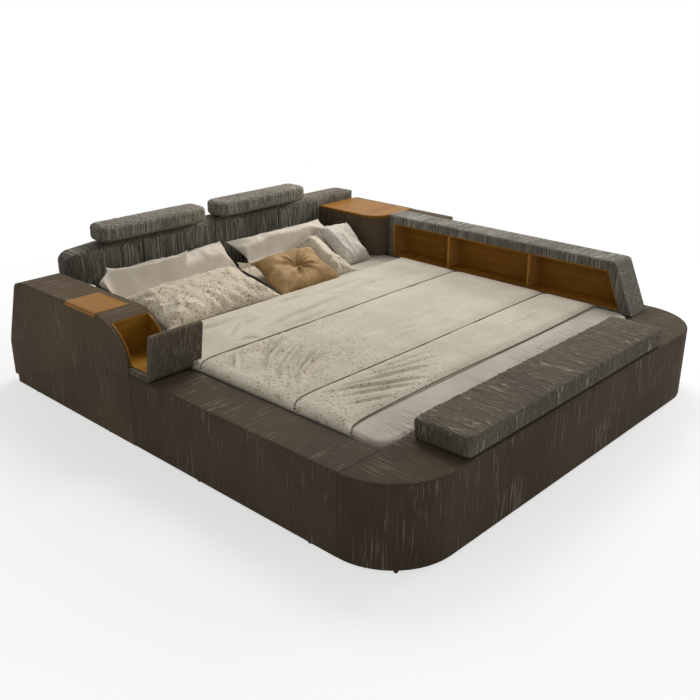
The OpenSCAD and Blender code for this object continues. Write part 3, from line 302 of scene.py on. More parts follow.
STREAKS = {"depth": 0.0018, "long_step": 7, "fine_step": 150, "cluster": 0.4}
FINE_STREAKS = {"depth": 0.0022, "long_step": 9, "fine_step": 250, "wave": 0.2, "cluster": 0.16}
# These eight materials are one cloth. Their ground and fleck colours are set part by part to how bright each part
# shows, so the differences between them are painted light and shade: lighter grounds on the lit shelf, headboard,
# headrests and lid, darker ones on the foot box and rails, whose sides lie in shade.
rail_cloth = upholstery("rail_cloth", "X", 0.58, 0.70, (75, 65, 53), (130, 121, 107), **STREAKS)
foot_cloth = upholstery("foot_cloth", "Y", 0.58, 0.70, (69, 59, 47), (126, 117, 103), **STREAKS)
stand_cloth = upholstery("stand_cloth", "X", 0.58, 0.70, (86, 73, 58), (134, 122, 105), **STREAKS)
bin_cloth = upholstery("bin_cloth", "X", 0.52, 0.66, (85, 78, 66), (126, 118, 103), 0.002, 12, 150)
shelf_cloth = upholstery("shelf_cloth", "X", 0.46, 0.62, (106, 103, 95), (164, 161, 153), 0.002, 9, 190, wave=0.3)
head_cloth = upholstery("head_cloth", "Y", 0.48, 0.61, (90, 86, 77), (162, 158, 146), **FINE_STREAKS)
rest_cloth = upholstery("rest_cloth", "Y", 0.48, 0.61, (104, 100, 91), (178, 174, 162), **FINE_STREAKS)
lid_cloth = upholstery("lid_cloth", "Y", 0.52, 0.67, (95, 88, 76), (164, 157, 142), 0.014, 13, 80, wave=1.1,
                       cluster=0.1)
wood_x = wood("honey_wood_across", "X", (143, 102, 32), (117, 77, 22))
wood_y = wood("honey_wood_along", "Y", (158, 113, 42), (131, 87, 28))
wood_edge = wood("honey_wood_edge", "Z", (180, 134, 68), (152, 106, 48))
board_wood = plywood("birch_board")
steel = metal("brushed_steel")
black_plastic = moulded("black_plastic_grain", (30, 30, 31), 0.5)
black_rubber = moulded("black_rubber_matt", (24, 24, 24), 0.85)
SPRIGS = ((116, 110, 78), (128, 108, 78), (150, 124, 94))
PALE_SPRIGS = ((134, 134, 124), (150, 148, 136), (164, 160, 148))


def quilt_mask(m):
    """Where the quilt's sprigs show: below its head seam, fading towards the shelf."""
    left = m.ranged(m.axis("X"), 0.1, -0.6, 0.22, 1.0)
    foot = m.ranged(m.axis("Y"), 0.075, 0.045)
    return m.math("MULTIPLY", left, foot)


def foot_pleats(m):
    """Where the sheet is pleated: in patches near its foot end."""
    near_foot = m.ranged(m.axis("Y"), -0.78, -0.98)
    return m.math("MULTIPLY", near_foot, m.ranged(m.noise(m.place((3, 1, 1)), 1), 0.35, 0.65))


white_linen = linen("white_linen", (204, 196, 184), (184, 175, 162))
sheet_linen = linen("sheet_linen", (176, 169, 159), (162, 154, 143), crease=0.4, pleats=foot_pleats)
quilt_cotton = linen("quilt_cotton", (190, 184, 169), (176, 169, 153), SPRIGS, quilt_mask, crease=0.45, size=50,
                     weight=0.72)
sprig_cotton = linen("sprig_cotton", (202, 194, 176), (184, 174, 155), SPRIGS, size=56)
leaf_cotton = linen("leaf_cotton", (204, 198, 188), (186, 179, 168), PALE_SPRIGS, weight=0.7)
# The quilt's piping cord, made dark also to paint the shade in its seams
piping_cord_and_seam_shade = moulded("piping_cotton_and_seam_shade", (70, 62, 47), 0.85)
tan_satin = satin("tan_satin", (160, 131, 88), (124, 96, 58))
ticking = linen("mattress_ticking", (216, 212, 204), (202, 197, 188), crease=0.2)


# Mesh tools

def new_object(name, mesh, material):
    """Puts a mesh in the scene, with one material."""
    obj = bpy.data.objects.new(name, mesh)
    bpy.context.collection.objects.link(obj)
    mesh.materials.clear()
    mesh.materials.append(material)
    return obj


def from_arrays(name, points, faces, material):
    """A smooth object from its points and its faces."""
    mesh = bpy.data.meshes.new(name)
    mesh.from_pydata([tuple(p) for p in points], [], [tuple(f) for f in faces])
    mesh.update()
    mesh.polygons.foreach_set("use_smooth", [True] * len(mesh.polygons))
    return new_object(name, mesh, material)


def finished(obj, slot, body="base", *nodes):
    """Puts a piece on its body, in place of its nodes. Its slot is not used."""
    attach(obj, body)
    if nodes:
        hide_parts(*nodes)


def dressed(node, name, material, bevel, sharp=28, segments=3):
    """A copy of a node with its outer edges rounded over, as padded fabric."""
    mesh = NODES[node].data.copy()
    mesh.name = name
    bm = bmesh.new()
    bm.from_mesh(mesh)
    bmesh.ops.remove_doubles(bm, verts=bm.verts, dist=WELD)
    bmesh.ops.dissolve_limit(bm, angle_limit=FLAT, verts=bm.verts, edges=bm.edges)
    edges = [e for e in bm.edges if e.is_manifold and e.is_convex and e.calc_face_angle(0) > math.radians(sharp)]
    bmesh.ops.bevel(bm, geom=edges, offset=bevel, segments=segments, profile=0.5, affect="EDGES", clamp_overlap=True)
    bm.to_mesh(mesh)
    bm.free()
    mesh.polygons.foreach_set("use_smooth", [True] * len(mesh.polygons))
    mesh.set_sharp_from_angle(angle=CRISP)
    obj = new_object(name, mesh, material)
    weigh = obj.modifiers.new("even_normals", "WEIGHTED_NORMAL")
    weigh.keep_sharp = True
    finished(obj, "upholstery", "base", node)


def remeshed(node, name, material, voxel):
    """A closed, evenly meshed copy of a node."""
    mesh = NODES[node].data.copy()
    mesh.name = name
    obj = new_object(name, mesh, material)
    bm = bmesh.new()
    bm.from_mesh(mesh)
    bmesh.ops.remove_doubles(bm, verts=bm.verts, dist=WELD)
    bm.to_mesh(mesh)
    bm.free()
    mod = obj.modifiers.new("remesh", "REMESH")
    mod.mode = "VOXEL"
    mod.voxel_size = voxel
    mod.use_smooth_shade = True
    graph = bpy.context.evaluated_depsgraph_get()
    graph.update()
    done = bpy.data.meshes.new_from_object(obj.evaluated_get(graph))
    obj.modifiers.clear()
    obj.data = done
    return obj


def points_of(mesh):
    """A mesh's points, one to a row."""
    co = np.empty(len(mesh.vertices) * 3)
    mesh.vertices.foreach_get("co", co)
    return co.reshape(-1, 3)


def normals_of(mesh):
    """A mesh's normals, one to a row."""
    no = np.empty(len(mesh.vertices) * 3, np.float32)
    mesh.vertex_normals.foreach_get("vector", no)
    return no.reshape(-1, 3).astype(float)


def set_points(mesh, co):
    """Moves a mesh's points to these places."""
    mesh.vertices.foreach_set("co", co.ravel())
    mesh.update()


def smoothed(mesh, rounds):
    """Evens a mesh out by moving each point towards its neighbours' middle."""
    edges = np.empty(len(mesh.edges) * 2, np.int64)
    mesh.edges.foreach_get("vertices", edges)
    a, b = edges.reshape(-1, 2).T
    co = points_of(mesh)
    count = np.bincount(a, minlength=len(co)) + np.bincount(b, minlength=len(co))
    for _ in range(rounds):
        total = np.zeros_like(co)
        for k in range(3):
            total[:, k] = np.bincount(a, co[b, k], len(co)) + np.bincount(b, co[a, k], len(co))
        co += 0.5 * (total / np.maximum(count, 1)[:, None] - co)
    set_points(mesh, co)


def field(points, scale, seed, octaves):
    """Smooth noise from about -1 to 1 at each point."""
    out = np.empty(len(points))
    for i, p in enumerate(points):
        v = Vector((p[0] * scale[0] + seed, p[1] * scale[1] + seed * 0.7, p[2] * scale[2] + seed * 1.3))
        out[i] = noise.noise(v) if octaves == 1 else noise.fractal(v, 1.0, 2.0, octaves)
    return out


def tube(name, path, radius, material, sides=8):
    """A cord along a list of points, as a closed tube."""
    path = [Vector(p) for p in path]
    points, faces = [], []
    for i, p in enumerate(path):
        run = (path[min(i + 1, len(path) - 1)] - path[max(i - 1, 0)]).normalized()
        side = run.cross(Vector((0, 0, 1))).normalized()
        up = side.cross(run)
        for k in range(sides):
            a = 2 * math.pi * k / sides
            points.append(p + radius * (math.cos(a) * side + math.sin(a) * up))
    for i in range(len(path) - 1):
        for k in range(sides):
            j = (k + 1) % sides
            faces.append((i * sides + k, i * sides + j, (i + 1) * sides + j, (i + 1) * sides + k))
    faces.append(tuple(range(sides)))
    faces.append(tuple(reversed(range((len(path) - 1) * sides, len(path) * sides))))
    return from_arrays(name, points, faces, material)


# Upholstered covers

dressed("foot_cover", "foot_box_cover", foot_cloth, 0.004)
dressed("left_rail_cover", "left_rail_wrap", rail_cloth, 0.003)
dressed("right_rail_cover", "right_rail_wrap", rail_cloth, 0.003)
dressed("head_rail_cover", "head_rail_wrap", rail_cloth, 0.003)
dressed("left_nightstand_cover", "left_stand_wrap", stand_cloth, 0.003)
dressed("right_nightstand_cover", "right_stand_wrap", stand_cloth, 0.004)
dressed("right_side_return", "side_return_wrap", stand_cloth, 0.004)
dressed("shelf_cover", "shelf_wrap", shelf_cloth, 0.003)
dressed("magazine_bin_floor", "bin_floor_wrap", bin_cloth, 0.005)
dressed("magazine_bin_front", "bin_front_wrap", bin_cloth, 0.008, segments=4)
dressed("headboard_padding", "headboard_wrap", head_cloth, 0.004, sharp=24)


# Wood, boards, metal, plastic and rubber keep their CAD forms

def surfaced(material, *nodes):
    """Gives CAD nodes a material of this scene."""
    for node in nodes:
        mesh = NODES[node].data
        if mesh.materials:
            for k in range(len(mesh.materials)):
                NODES[node].material_slots[k].link = "OBJECT"
                NODES[node].material_slots[k].material = material
        else:
            mesh.materials.append(material)


surfaced(wood_y, "left_nightstand_inlay", "shelf_back_panel", "shelf_floor_panel", "shelf_top_panel")
surfaced(wood_x, "right_nightstand_top", "shelf_foot_panel", "magazine_bin_lining")
surfaced(wood_edge, "shelf_dividers", "shelf_head_panel")
surfaced(board_wood, "foot_carcass", "left_rail_carcass", "right_rail_carcass", "head_rail_carcass", "side_ledgers",
         "centre_beam", "slats", "left_nightstand_carcass", "right_nightstand_carcass", "headboard_board",
         "headrest_left_board", "headrest_right_board", "lid_board")
surfaced(steel, "module_bolts", "beam_legs", "headboard_posts", "headrest_left_arms", "headrest_left_brackets",
         "headrest_left_pins", "headrest_right_arms", "headrest_right_brackets", "headrest_right_pins",
         "lid_hinge_leaves", "box_hinge_leaves", "lid_hinge_pins")
surfaced(black_plastic, "base_glides")
surfaced(black_rubber, "lid_bumpers")


# Bench lid and headrests, padded forms with an embossed cloth

# Size of a pad's mesh, how far its top sinks in the middle and how far its sides swell, in metres
SLAB_VOXEL, SLAB_DISH, SLAB_SIDES = 0.006, 0.001, 0.0015


def padded_slab(node, name, material, body, emboss, scale, longer=(0.0, 0.0)):
    """A pad whose cloth is embossed on its upper half, and whose left and right ends may be drawn out."""
    obj = remeshed(node, name, material, SLAB_VOXEL)
    mesh = obj.data
    smoothed(mesh, 1)
    co = points_of(mesh)
    no = normals_of(mesh)
    lo, hi = co.min(0), co.max(0)
    rel = (co - (lo + hi) / 2) / ((hi - lo) / 2)
    top = np.clip(no[:, 2], 0, 1)
    upper = np.clip((rel[:, 2] + 0.5) / 0.5, 0, 1)
    dome = (1 - rel[:, 0] ** 4) * (1 - rel[:, 1] ** 2)
    side = (1 - top) * (1 - np.abs(rel[:, 2]) ** 2) * (np.abs(no[:, 2]) < 0.5)
    out = emboss * field(co, scale, 3.0, 3) * upper - SLAB_DISH * dome * top + SLAB_SIDES * side
    co += no * out[:, None]
    co[:, 0] += np.clip(rel[:, 0], 0, 1) ** 3 * longer[1] - np.clip(-rel[:, 0], 0, 1) ** 3 * longer[0]
    set_points(mesh, co)
    finished(obj, "upholstery", body, node)


padded_slab("lid_cushion", "bench_lid_pad", lid_cloth, "bench_lid", 0.0032, (46, 9, 30))
for hand, longer in (("left", (0.0, 0.009)), ("right", (0.003, 0.0))):
    padded_slab(f"headrest_{hand}_pad", f"headrest_{hand}_cushion", rest_cloth, f"headrest_{hand}", 0.0016,
                (40, 8, 8), longer)


# Bedding

# Size of the mattress's mesh, in metres
MATTRESS_VOXEL = 0.02
# Height of the flat part of the sheet's top, and the longest edge left in it, in metres
SHEET_FLAT, SHEET_EDGE = 0.3363, 0.02


def mattress_piece():
    """The mattress, which the sheet hides."""
    obj = remeshed("mattress", "mattress_body", ticking, MATTRESS_VOXEL)
    smoothed(obj.data, 2)
    finished(obj, "linen", "base", "mattress")


def sheet_piece():
    """The fitted sheet, stretched over the mattress and down its sides."""
    mesh = NODES["fitted_sheet"].data.copy()
    mesh.name = "fitted_sheet_cloth"
    obj = new_object("fitted_sheet_cloth", mesh, sheet_linen)
    bm = bmesh.new()
    bm.from_mesh(mesh)
    bmesh.ops.remove_doubles(bm, verts=bm.verts, dist=WELD)
    for _ in range(6):
        tops = [e for e in bm.edges if min(v.co.z for v in e.verts) > SHEET_FLAT and e.calc_length() > SHEET_EDGE]
        if not tops:
            break
        bmesh.ops.subdivide_edges(bm, edges=tops, cuts=1, use_grid_fill=True)
        bmesh.ops.triangulate(bm, faces=[f for f in bm.faces if len(f.verts) > 4])
    bm.to_mesh(mesh)
    bm.free()
    mesh.polygons.foreach_set("use_smooth", [True] * len(mesh.polygons))
    finished(obj, "linen", "base", "fitted_sheet")


# The quilt in the part's source, in millimetres: its edges, seams, full thickness and least and most thickness
QUILT_X0, QUILT_X1, QUILT_Y0, QUILT_Y1 = 216.0, 2031.0, 460.0, 1700.0
QUILT_SEAMS = (745.0, 1305.0)
QUILT_T, QUILT_MIN, QUILT_MAX = 24.0, 1.2, 36
# Widths over which it thins at its ends, its sides and its seams
QUILT_END, QUILT_SIDE, QUILT_SEAM = 42, 60, 26
# How far its left edge is drawn towards the foot, and how soon that fades
DRAWN, DRAWN_REACH = 48, 42
# How far from its foot edge that draw reaches, and how wide the middle panel's own relief sets in at the seams
DRAWN_FADE, PANEL_BLEND = 500, 40
# Heights of its broad waves, and of its fine puckers and crinkles
WAVES, PUCKERS, CRINKLES = 1.8, 1.1, 1.3
# The hollow that its middle panel's folds rise from: middle, half width and depth
HOLLOW_X, HOLLOW_W, HOLLOW_D = 520, 210, 7.0
# Height of the sheet, on which the quilt and the pillows lie
BEDDING_Z = 348.6
# Radius of the dark cord along the quilt's edge and seams, which is piping and painted seam shade, in metres
CORD_R = 0.0033
# How far the quilt's left edge rolls over the mattress's round edge, as a radius and the most that it drops
ROLL_R, ROLL_DROP = 20, 11
# Folds of the quilt: a line in the part's source, height and half width, in millimetres
CREASES = [
    ([(304, 1142), (386, 1231), (480, 1276)], 21.6, 10.8), ([(451, 1203), (540, 1255), (595, 1284)], 10.5, 9.36),
    ([(470, 1130), (560, 1200), (717, 1278)], 25.2, 10.8),
    ([(377, 1026), (466, 1105), (543, 1146), (624, 1187)], 28.8, 10.8),
    ([(355, 920), (410, 972), (499, 1030), (611, 1094), (688, 1119)], 25.2, 10.08),
    ([(404, 900), (490, 955), (590, 1010), (700, 1060)], 21.6, 10.08),
    ([(380, 840), (442, 900), (549, 957), (680, 1000)], 21.6, 10.08),
    ([(420, 815), (510, 865), (640, 920)], 8.4, 10.08), ([(369, 697), (478, 649), (617, 578), (778, 500)], 12.6, 8.64),
    ([(440, 706), (564, 661), (731, 610), (900, 563)], 10.5, 8.64),
    ([(372, 640), (472, 590), (619, 525), (700, 490)], 10.5, 8.64), ([(342, 575), (450, 525), (557, 485)], 8.4, 8.64),
    ([(555, 712), (675, 675), (816, 640), (1000, 610)], 8.4, 8.64), ([(620, 720), (800, 690), (1020, 665)], 6.3, 8.64),
    ([(675, 1382), (784, 1409), (927, 1433), (1099, 1436)], 12.6, 12.96),
    ([(976, 1406), (1086, 1443), (1255, 1461)], 10.5, 11.52),
    ([(531, 1420), (641, 1489), (728, 1519), (786, 1532)], 12.6, 12.96),
    ([(502, 1361), (567, 1346), (615, 1327)], 8.4, 10.08), ([(1150, 1560), (1330, 1580), (1560, 1570)], 10.5, 14.4),
    ([(880, 1590), (1010, 1610), (1180, 1600)], 8.4, 12.96), ([(760, 1350), (900, 1345), (1150, 1370)], 6.3, 11.52),
    ([(1300, 1480), (1500, 1500), (1700, 1490)], 8.4, 14.4), ([(420, 1600), (560, 1580), (700, 1600)], 10.5, 12.96),
    ([(1420, 620), (1600, 600), (1800, 610)], 4.2, 12.96), ([(1100, 1000), (1300, 985), (1500, 1000)], 4.2, 18.72),
    ([(900, 860), (1100, 880), (1250, 870)], 4.2, 15.84),
]


def ridge(px, py, line, height, width):
    """A soft fold along a line, at each point, tapering at both ends."""
    pts = np.array(line, float)
    seg = np.hypot(*np.diff(pts, axis=0).T)
    total = seg.sum()
    best = np.full(px.shape, 1e9)
    along = np.zeros(px.shape)
    done = 0.0
    for k in range(len(seg)):
        ax, ay = pts[k]
        dx, dy = (pts[k + 1] - pts[k]) / seg[k]
        t = np.clip((px - ax) * dx + (py - ay) * dy, 0, seg[k])
        d = np.hypot(px - ax - t * dx, py - ay - t * dy)
        near = d < best
        best[near] = d[near]
        along[near] = (done + t)[near]
        done += seg[k]
    taper = np.sin(np.pi * np.clip(along / total, 0.02, 0.98)) ** 0.7
    profile = np.exp(-(best / width) ** 2) - 0.55 * np.exp(-((best - 1.7 * width) / (0.9 * width)) ** 2)
    return height * taper * profile


def drawn(x):
    """How far the quilt is drawn towards the foot, most at its left edge."""
    return DRAWN * np.exp(-np.clip(x - QUILT_X0, 0, None) / DRAWN_REACH)


def quilt_line(seam, x):
    """How far from the foot face a seam runs, with a slight wave."""
    return seam - (drawn(x) + 3 * np.sin(x / 230 + seam))


def quilt_height(px, py):
    """Thickness of the smooth quilt at each point, and a share that is 0 at its edge and 1 inside."""
    from_foot, from_head = py + drawn(px) - QUILT_Y0, QUILT_Y1 - py
    from_side = np.minimum(px - QUILT_X0, QUILT_X1 - px)
    e = np.clip(np.minimum(np.minimum(from_foot, from_head) / QUILT_END, from_side / QUILT_SIDE), 0, 1)
    edge = np.sin(np.pi / 2 * e)
    lines = [quilt_line(s, px) for s in QUILT_SEAMS]
    gap = np.minimum(*[np.abs(py - s) for s in lines])
    puff = 1 - 0.42 * np.exp(-(gap / QUILT_SEAM) ** 2)
    return QUILT_T * (0.22 + 0.78 * edge) * puff, e


def quilt_piece():
    """The quilt with its folds, and a dark cord along each of its three seams, which is piping and painted shade in
    the seams.
    """
    nx, ny = 340, 250
    u = np.linspace(0, 1, nx + 1)
    v = np.linspace(0, 1, ny + 1)
    gx, gy = np.meshgrid(QUILT_X0 + (QUILT_X1 - QUILT_X0) * u, QUILT_Y0 + (QUILT_Y1 - QUILT_Y0) * v)
    gy = gy - drawn(gx) * np.clip(1 - (gy - QUILT_Y0) / DRAWN_FADE, 0, 1)
    px, py = gx.ravel(), gy.ravel()
    h, e = quilt_height(px, py)
    foot_seam, head_seam = QUILT_SEAMS
    middle = np.clip((py - foot_seam) / PANEL_BLEND, 0, 1) * np.clip((head_seam - py) / PANEL_BLEND, 0, 1)
    h = h - HOLLOW_D * middle * np.exp(-((px - HOLLOW_X) / HOLLOW_W) ** 2) * e
    for line, height, width in CREASES:
        h = h + ridge(px, py, line, height, width) * e
    flat = np.stack([px / 1000, py / 1000, np.zeros_like(px)], 1)
    crinkle = (1 - np.abs(field(flat, (34, 52, 1), 8.0, 1))) ** 3
    puckers = PUCKERS * field(flat, (7, 40, 1), 5.0, 2) + CRINKLES * crinkle * middle
    h = h + WAVES * field(flat, (9, 9, 1), 2.0, 3) * e + puckers * e
    h = np.clip(h, QUILT_MIN, QUILT_MAX)
    d = np.clip(px - QUILT_X0, 0, ROLL_R)
    drop = np.minimum(ROLL_R - np.sqrt(ROLL_R ** 2 - (ROLL_R - d) ** 2), ROLL_DROP)
    low = np.stack([px, py, BEDDING_Z + 0.4 - drop], 1)
    top = np.stack([px, py, BEDDING_Z + h - 0.7 * drop], 1)
    points = [at(*p) for p in top] + [at(*p) for p in low]
    n = (nx + 1) * (ny + 1)
    faces = []
    for j in range(ny):
        for i in range(nx):
            a = j * (nx + 1) + i
            faces.append((a, a + 1, a + nx + 2, a + nx + 1))
            faces.append((n + a, n + a + nx + 1, n + a + nx + 2, n + a + 1))
    rim = (list(range(nx + 1)) + [j * (nx + 1) + nx for j in range(1, ny + 1)]
           + [ny * (nx + 1) + i for i in range(nx - 1, -1, -1)] + [j * (nx + 1) for j in range(ny - 1, 0, -1)])
    for k, a in enumerate(rim):
        b = rim[(k + 1) % len(rim)]
        faces.append((b, a, n + a, n + b))
    obj = from_arrays("quilt_body", points, faces, quilt_cotton)
    finished(obj, "quilted_cotton", "base", "quilt")
    xs = np.linspace(QUILT_X0 + 2, QUILT_X1 - 4, 200)
    # Each cord lies in a seam and is dark both as piping and as painted shade of the seam
    for k, (seam, inset, lift) in enumerate(((QUILT_Y0, 3, -2.0), (foot_seam, 0, 0.5), (head_seam, 0, 0.5))):
        ys = quilt_line(seam, xs) + inset
        zs, _ = quilt_height(xs, ys)
        path = [at(x, y, BEDDING_Z + max(z, 4) + lift) for x, y, z in zip(xs, ys, zs)]
        finished(tube(f"quilt_piping_and_shade_{k + 1}", path, CORD_R, piping_cord_and_seam_shade), "quilted_cotton")


# Pillows

# Distance of the head rail from the foot face
Y_HEAD = 2284
# Middle of the lower edge, width, height, thickness, tilt and turn, as in the part's source
PILLOWS = {
    "left_back": ((795, Y_HEAD - 410), 640, 400, 105, 25, 0),
    "left_side": ((590, Y_HEAD - 515), 610, 410, 105, 31, -3),
    "left_front": ((726, Y_HEAD - 584), 695, 350, 115, 13, 1),
    "right_back": ((1515, Y_HEAD - 424), 695, 400, 105, 26, 0),
    "right_side": ((1796, Y_HEAD - 454), 212, 292, 85, 40, 0),
    "right_front": ((1405, Y_HEAD - 548), 560, 350, 100, 19, 1),
    "tan_square": ((1292, Y_HEAD - 594), 410, 360, 120, 14, -2),
}
# Shares of the size by which a side curves in, and the middle stands above and below the seam; depth of the dent
CURVE, CROWN, BELLY, DENT = 0.07, 0.62, 0.28, 5
# Room between two pillows, and how softly one presses into the next, in millimetres
PILLOW_GAP, PRESS = 3.0, 8.0
# How far past the upper one's rim it presses, and how steeply, and ever more steeply, that room opens from there
PAST_RIM, OPENS, OPENS_MORE = 4, 1.15, 0.006
# Waves of a pillow's seam, and how far its corners stand out
RIM_WAVE, EAR = 2.5, 9
# Room under a pillow, its least thickness, and its room to the head rail
LIE, SHELL, HEAD_ROOM = 0.6, 0.8, 1.0


def pillow_shape(w, h, t, u, v, side):
    """The upper or lower face of a flat pillow, for u and v from -1 to 1."""
    full = np.where(side > 0, t * CROWN, -t * BELLY)
    swell = ((1 - u ** 4) * (1 - v ** 4)).clip(0, 1) ** 0.6
    return np.stack([w / 2 * u * (1 - CURVE * (1 - v * v)), h / 2 * v * (1 - CURVE * (1 - u * u)), full * swell], 1)


def pillow_frame(key):
    """Rotation and shift that lay a flat pillow down, in source millimetres."""
    (cx, cy), w, h, t, tilt, turn = PILLOWS[key]
    n = 10
    sp = np.sin(np.radians(90 * (2 * np.arange(n + 1) / n - 1)))
    u, v = [a.ravel() for a in np.meshgrid(sp, sp)]
    q = pillow_shape(w, h, t, u, v, np.full(u.shape, -1))
    a, b = math.radians(tilt), math.radians(turn)
    seat = -((h / 2 + q[:, 1]) * math.sin(a) + q[:, 2] * math.cos(a)).min() - DENT
    rx = np.array([[1, 0, 0], [0, math.cos(a), -math.sin(a)], [0, math.sin(a), math.cos(a)]])
    rz = np.array([[math.cos(b), -math.sin(b), 0], [math.sin(b), math.cos(b), 0], [0, 0, 1]])
    rot = rz @ rx
    shift = np.array([cx, cy, BEDDING_Z + seat]) + rot @ np.array([0, h / 2, 0])
    return rot, shift


def pillow_piece(key, node, name, material, slot, over=(), folds=None, n=(110, 80), seed=1.0,
                 wrinkle=0.07, pulls=()):
    """A pillow, which gives way to those over it. Each pull moves the cloth round a point by some millimetres."""
    _, w, h, t, _, _ = PILLOWS[key]
    rot, shift = pillow_frame(key)
    nu, nv = n
    us = np.sin(np.linspace(-math.pi / 2, math.pi / 2, nu + 1))
    vs = np.sin(np.linspace(-math.pi / 2, math.pi / 2, nv + 1))
    u, v = [a.ravel() for a in np.meshgrid(us, vs)]
    top = pillow_shape(w, h, t, u, v, np.ones(u.shape))
    low = pillow_shape(w, h, t, u, v, -np.ones(u.shape))
    inner = ((1 - u ** 2) * (1 - v ** 2)).clip(0, 1)
    rim = (1 - inner) ** 6
    flat = np.stack([u * w / 400, v * h / 400, np.zeros_like(u)], 1)
    soft = field(flat, (2.2, 2.2, 1), seed, 2)
    bent = flat + 0.12 * np.stack([field(flat, (3, 3, 1), seed + 9, 1), field(flat, (3, 3, 1), seed + 12, 1),
                                   np.zeros_like(u)], 1)
    crease = (1 - np.abs(field(bent, (3.0, 1.6, 1), seed + 4, 1))).clip(0, 1) ** 4
    window = np.minimum(1, inner * 5)
    top[:, 2] += t * (0.06 * soft + wrinkle * (crease - 0.3)) * window
    corner = np.abs(u * v) ** 1.6 * window
    pleat = np.sin(7 * np.arctan2((1.08 - np.abs(v)) * h, (1.08 - np.abs(u)) * w) + seed)
    top[:, 2] += t * 0.10 * pleat * corner
    if folds is not None:
        top[:, 2] += folds(u, v, w, h, t) * window
    top[:, 0] += RIM_WAVE * np.sin(v * 9 + seed) * rim
    top[:, 1] += RIM_WAVE * np.sin(u * 11 + seed) * rim
    ear = (np.abs(u * v) ** 10)[:, None] * np.stack([np.sign(u) * EAR, np.sign(v) * EAR, np.zeros_like(u)], 1)
    for face in (top, low):
        face += ear
        for (cu, cv), reach, move in pulls:
            g = np.exp(-((u - cu) ** 2 + (v - cv) ** 2) / reach ** 2)
            face += g[:, None] * np.array(move, float)
    edge = (np.abs(u) > 0.9999) | (np.abs(v) > 0.9999)
    low[edge] = top[edge]
    world = [top @ rot.T + shift, low @ rot.T + shift]
    for other in over:
        ro, so = pillow_frame(other)
        _, ow, oh, ot, _, _ = PILLOWS[other]
        for k in (0, 1):
            local = (world[k] - so) @ ro
            away = np.hypot(np.clip(np.abs(local[:, 0]) - ow / 2 - PAST_RIM, 0, None),
                            np.clip(np.abs(local[:, 1]) - oh / 2 - PAST_RIM, 0, None))
            limit = -ot * BELLY - PILLOW_GAP - k + OPENS * away + OPENS_MORE * away ** 2
            lower = np.minimum(local[:, 2], limit)
            local[:, 2] = lower - PRESS * np.log1p(np.exp(-np.abs(local[:, 2] - limit) / PRESS))
            world[k] = local @ ro.T + so
    for k in (0, 1):
        world[k][:, 2] = np.maximum(world[k][:, 2], BEDDING_Z + LIE + SHELL * (k == 0))
        world[k][:, 1] = np.minimum(world[k][:, 1], Y_HEAD - HEAD_ROOM)
    low_id = np.arange(len(u)) + len(u)
    low_id[edge] = np.arange(len(u))[edge]
    points = [at(*p) for p in world[0]] + [at(*p) for p in world[1]]
    faces = []
    for j in range(nv):
        for i in range(nu):
            a = j * (nu + 1) + i
            b, c, d = a + 1, a + nu + 2, a + nu + 1
            faces.append((a, b, c, d))
            faces.append(tuple(int(low_id[q]) for q in (a, d, c, b)))
    obj = from_arrays(name, points, faces, material)
    bm = bmesh.new()
    bm.from_mesh(obj.data)
    bmesh.ops.delete(bm, geom=[q for q in bm.verts if not q.link_faces], context="VERTS")
    bm.to_mesh(obj.data)
    bm.free()
    finished(obj, slot, "base", node)


SIDE_PULLS = (((-1, 1), 0.24, (66, 0, 15)), ((-1, 0.66), 0.22, (-40, 0, 0)), ((1, 0.6), 0.9, (-125, 0, 0)),
              ((1, 0.7), 0.45, (0, 0, 16)))
TAN_PULLS = (((-0.9, 1), 0.95, (26, -60, 30)), ((0.9, 1), 0.95, (26, -60, 30)))
# Middle of the cushion's pinch, the knot's place from there, and its radius and half height, in millimetres
KNOT, KNOT_OFF, KNOT_R, KNOT_H = (4, -34), (14, -16), 17, 11


def knot_folds(u, v, w, h, t):
    """A pinch below the middle with folds running out of it."""
    x, y = u * w / 2 - KNOT[0], v * h / 2 - KNOT[1]
    r = np.hypot(x, y)
    a = np.arctan2(y, x) + 0.0022 * r
    pinch = -0.28 * t * np.exp(-(r / 30) ** 2) - 0.12 * t * np.exp(-(r / 80) ** 2)
    rays = np.abs(np.sin(3.5 * a + 0.5)) ** 0.6 + 0.4 * np.sin(11 * a + 1.0) - 0.75
    folds = 0.17 * t * rays * np.clip(r / 26, 0, 1) * np.exp(-(r / 115) ** 2)
    return pinch + folds


def hem_folds(u, v, w, h, t):
    """Long soft folds running in from the lower edge and the near end."""
    x, y = u * w / 2, v * h / 2
    low = np.clip(-v, 0, 1) ** 0.8 * np.sin(x / 15 + y / 26 + 2 * np.sin(x / 90))
    near = np.clip(-u, 0, 1) ** 1.5 * np.sin(y / 13 + x / 40)
    band = np.exp(-(((x + 1.6 * y) / 130 + 0.3) % 1.6 - 0.8) ** 2 / 0.02)
    return t * (0.045 * low + 0.04 * near + 0.03 * band)


def side_crease(u, v, w, h, t):
    """A crease across the pillow near its right end."""
    x = u * w / 2
    return -0.10 * t * np.exp(-((x - 190 + 30 * v) / 12) ** 2) + 0.07 * t * np.exp(-((x - 215 + 30 * v) / 18) ** 2)


def drape_crease(u, v, w, h, t):
    """A long slanting fold."""
    x, y = u * w / 2, v * h / 2
    d = (x + 60) * 0.35 + (y - 20)
    return 0.06 * t * np.exp(-(d / 16) ** 2) - 0.05 * t * np.exp(-((d + 34) / 18) ** 2)


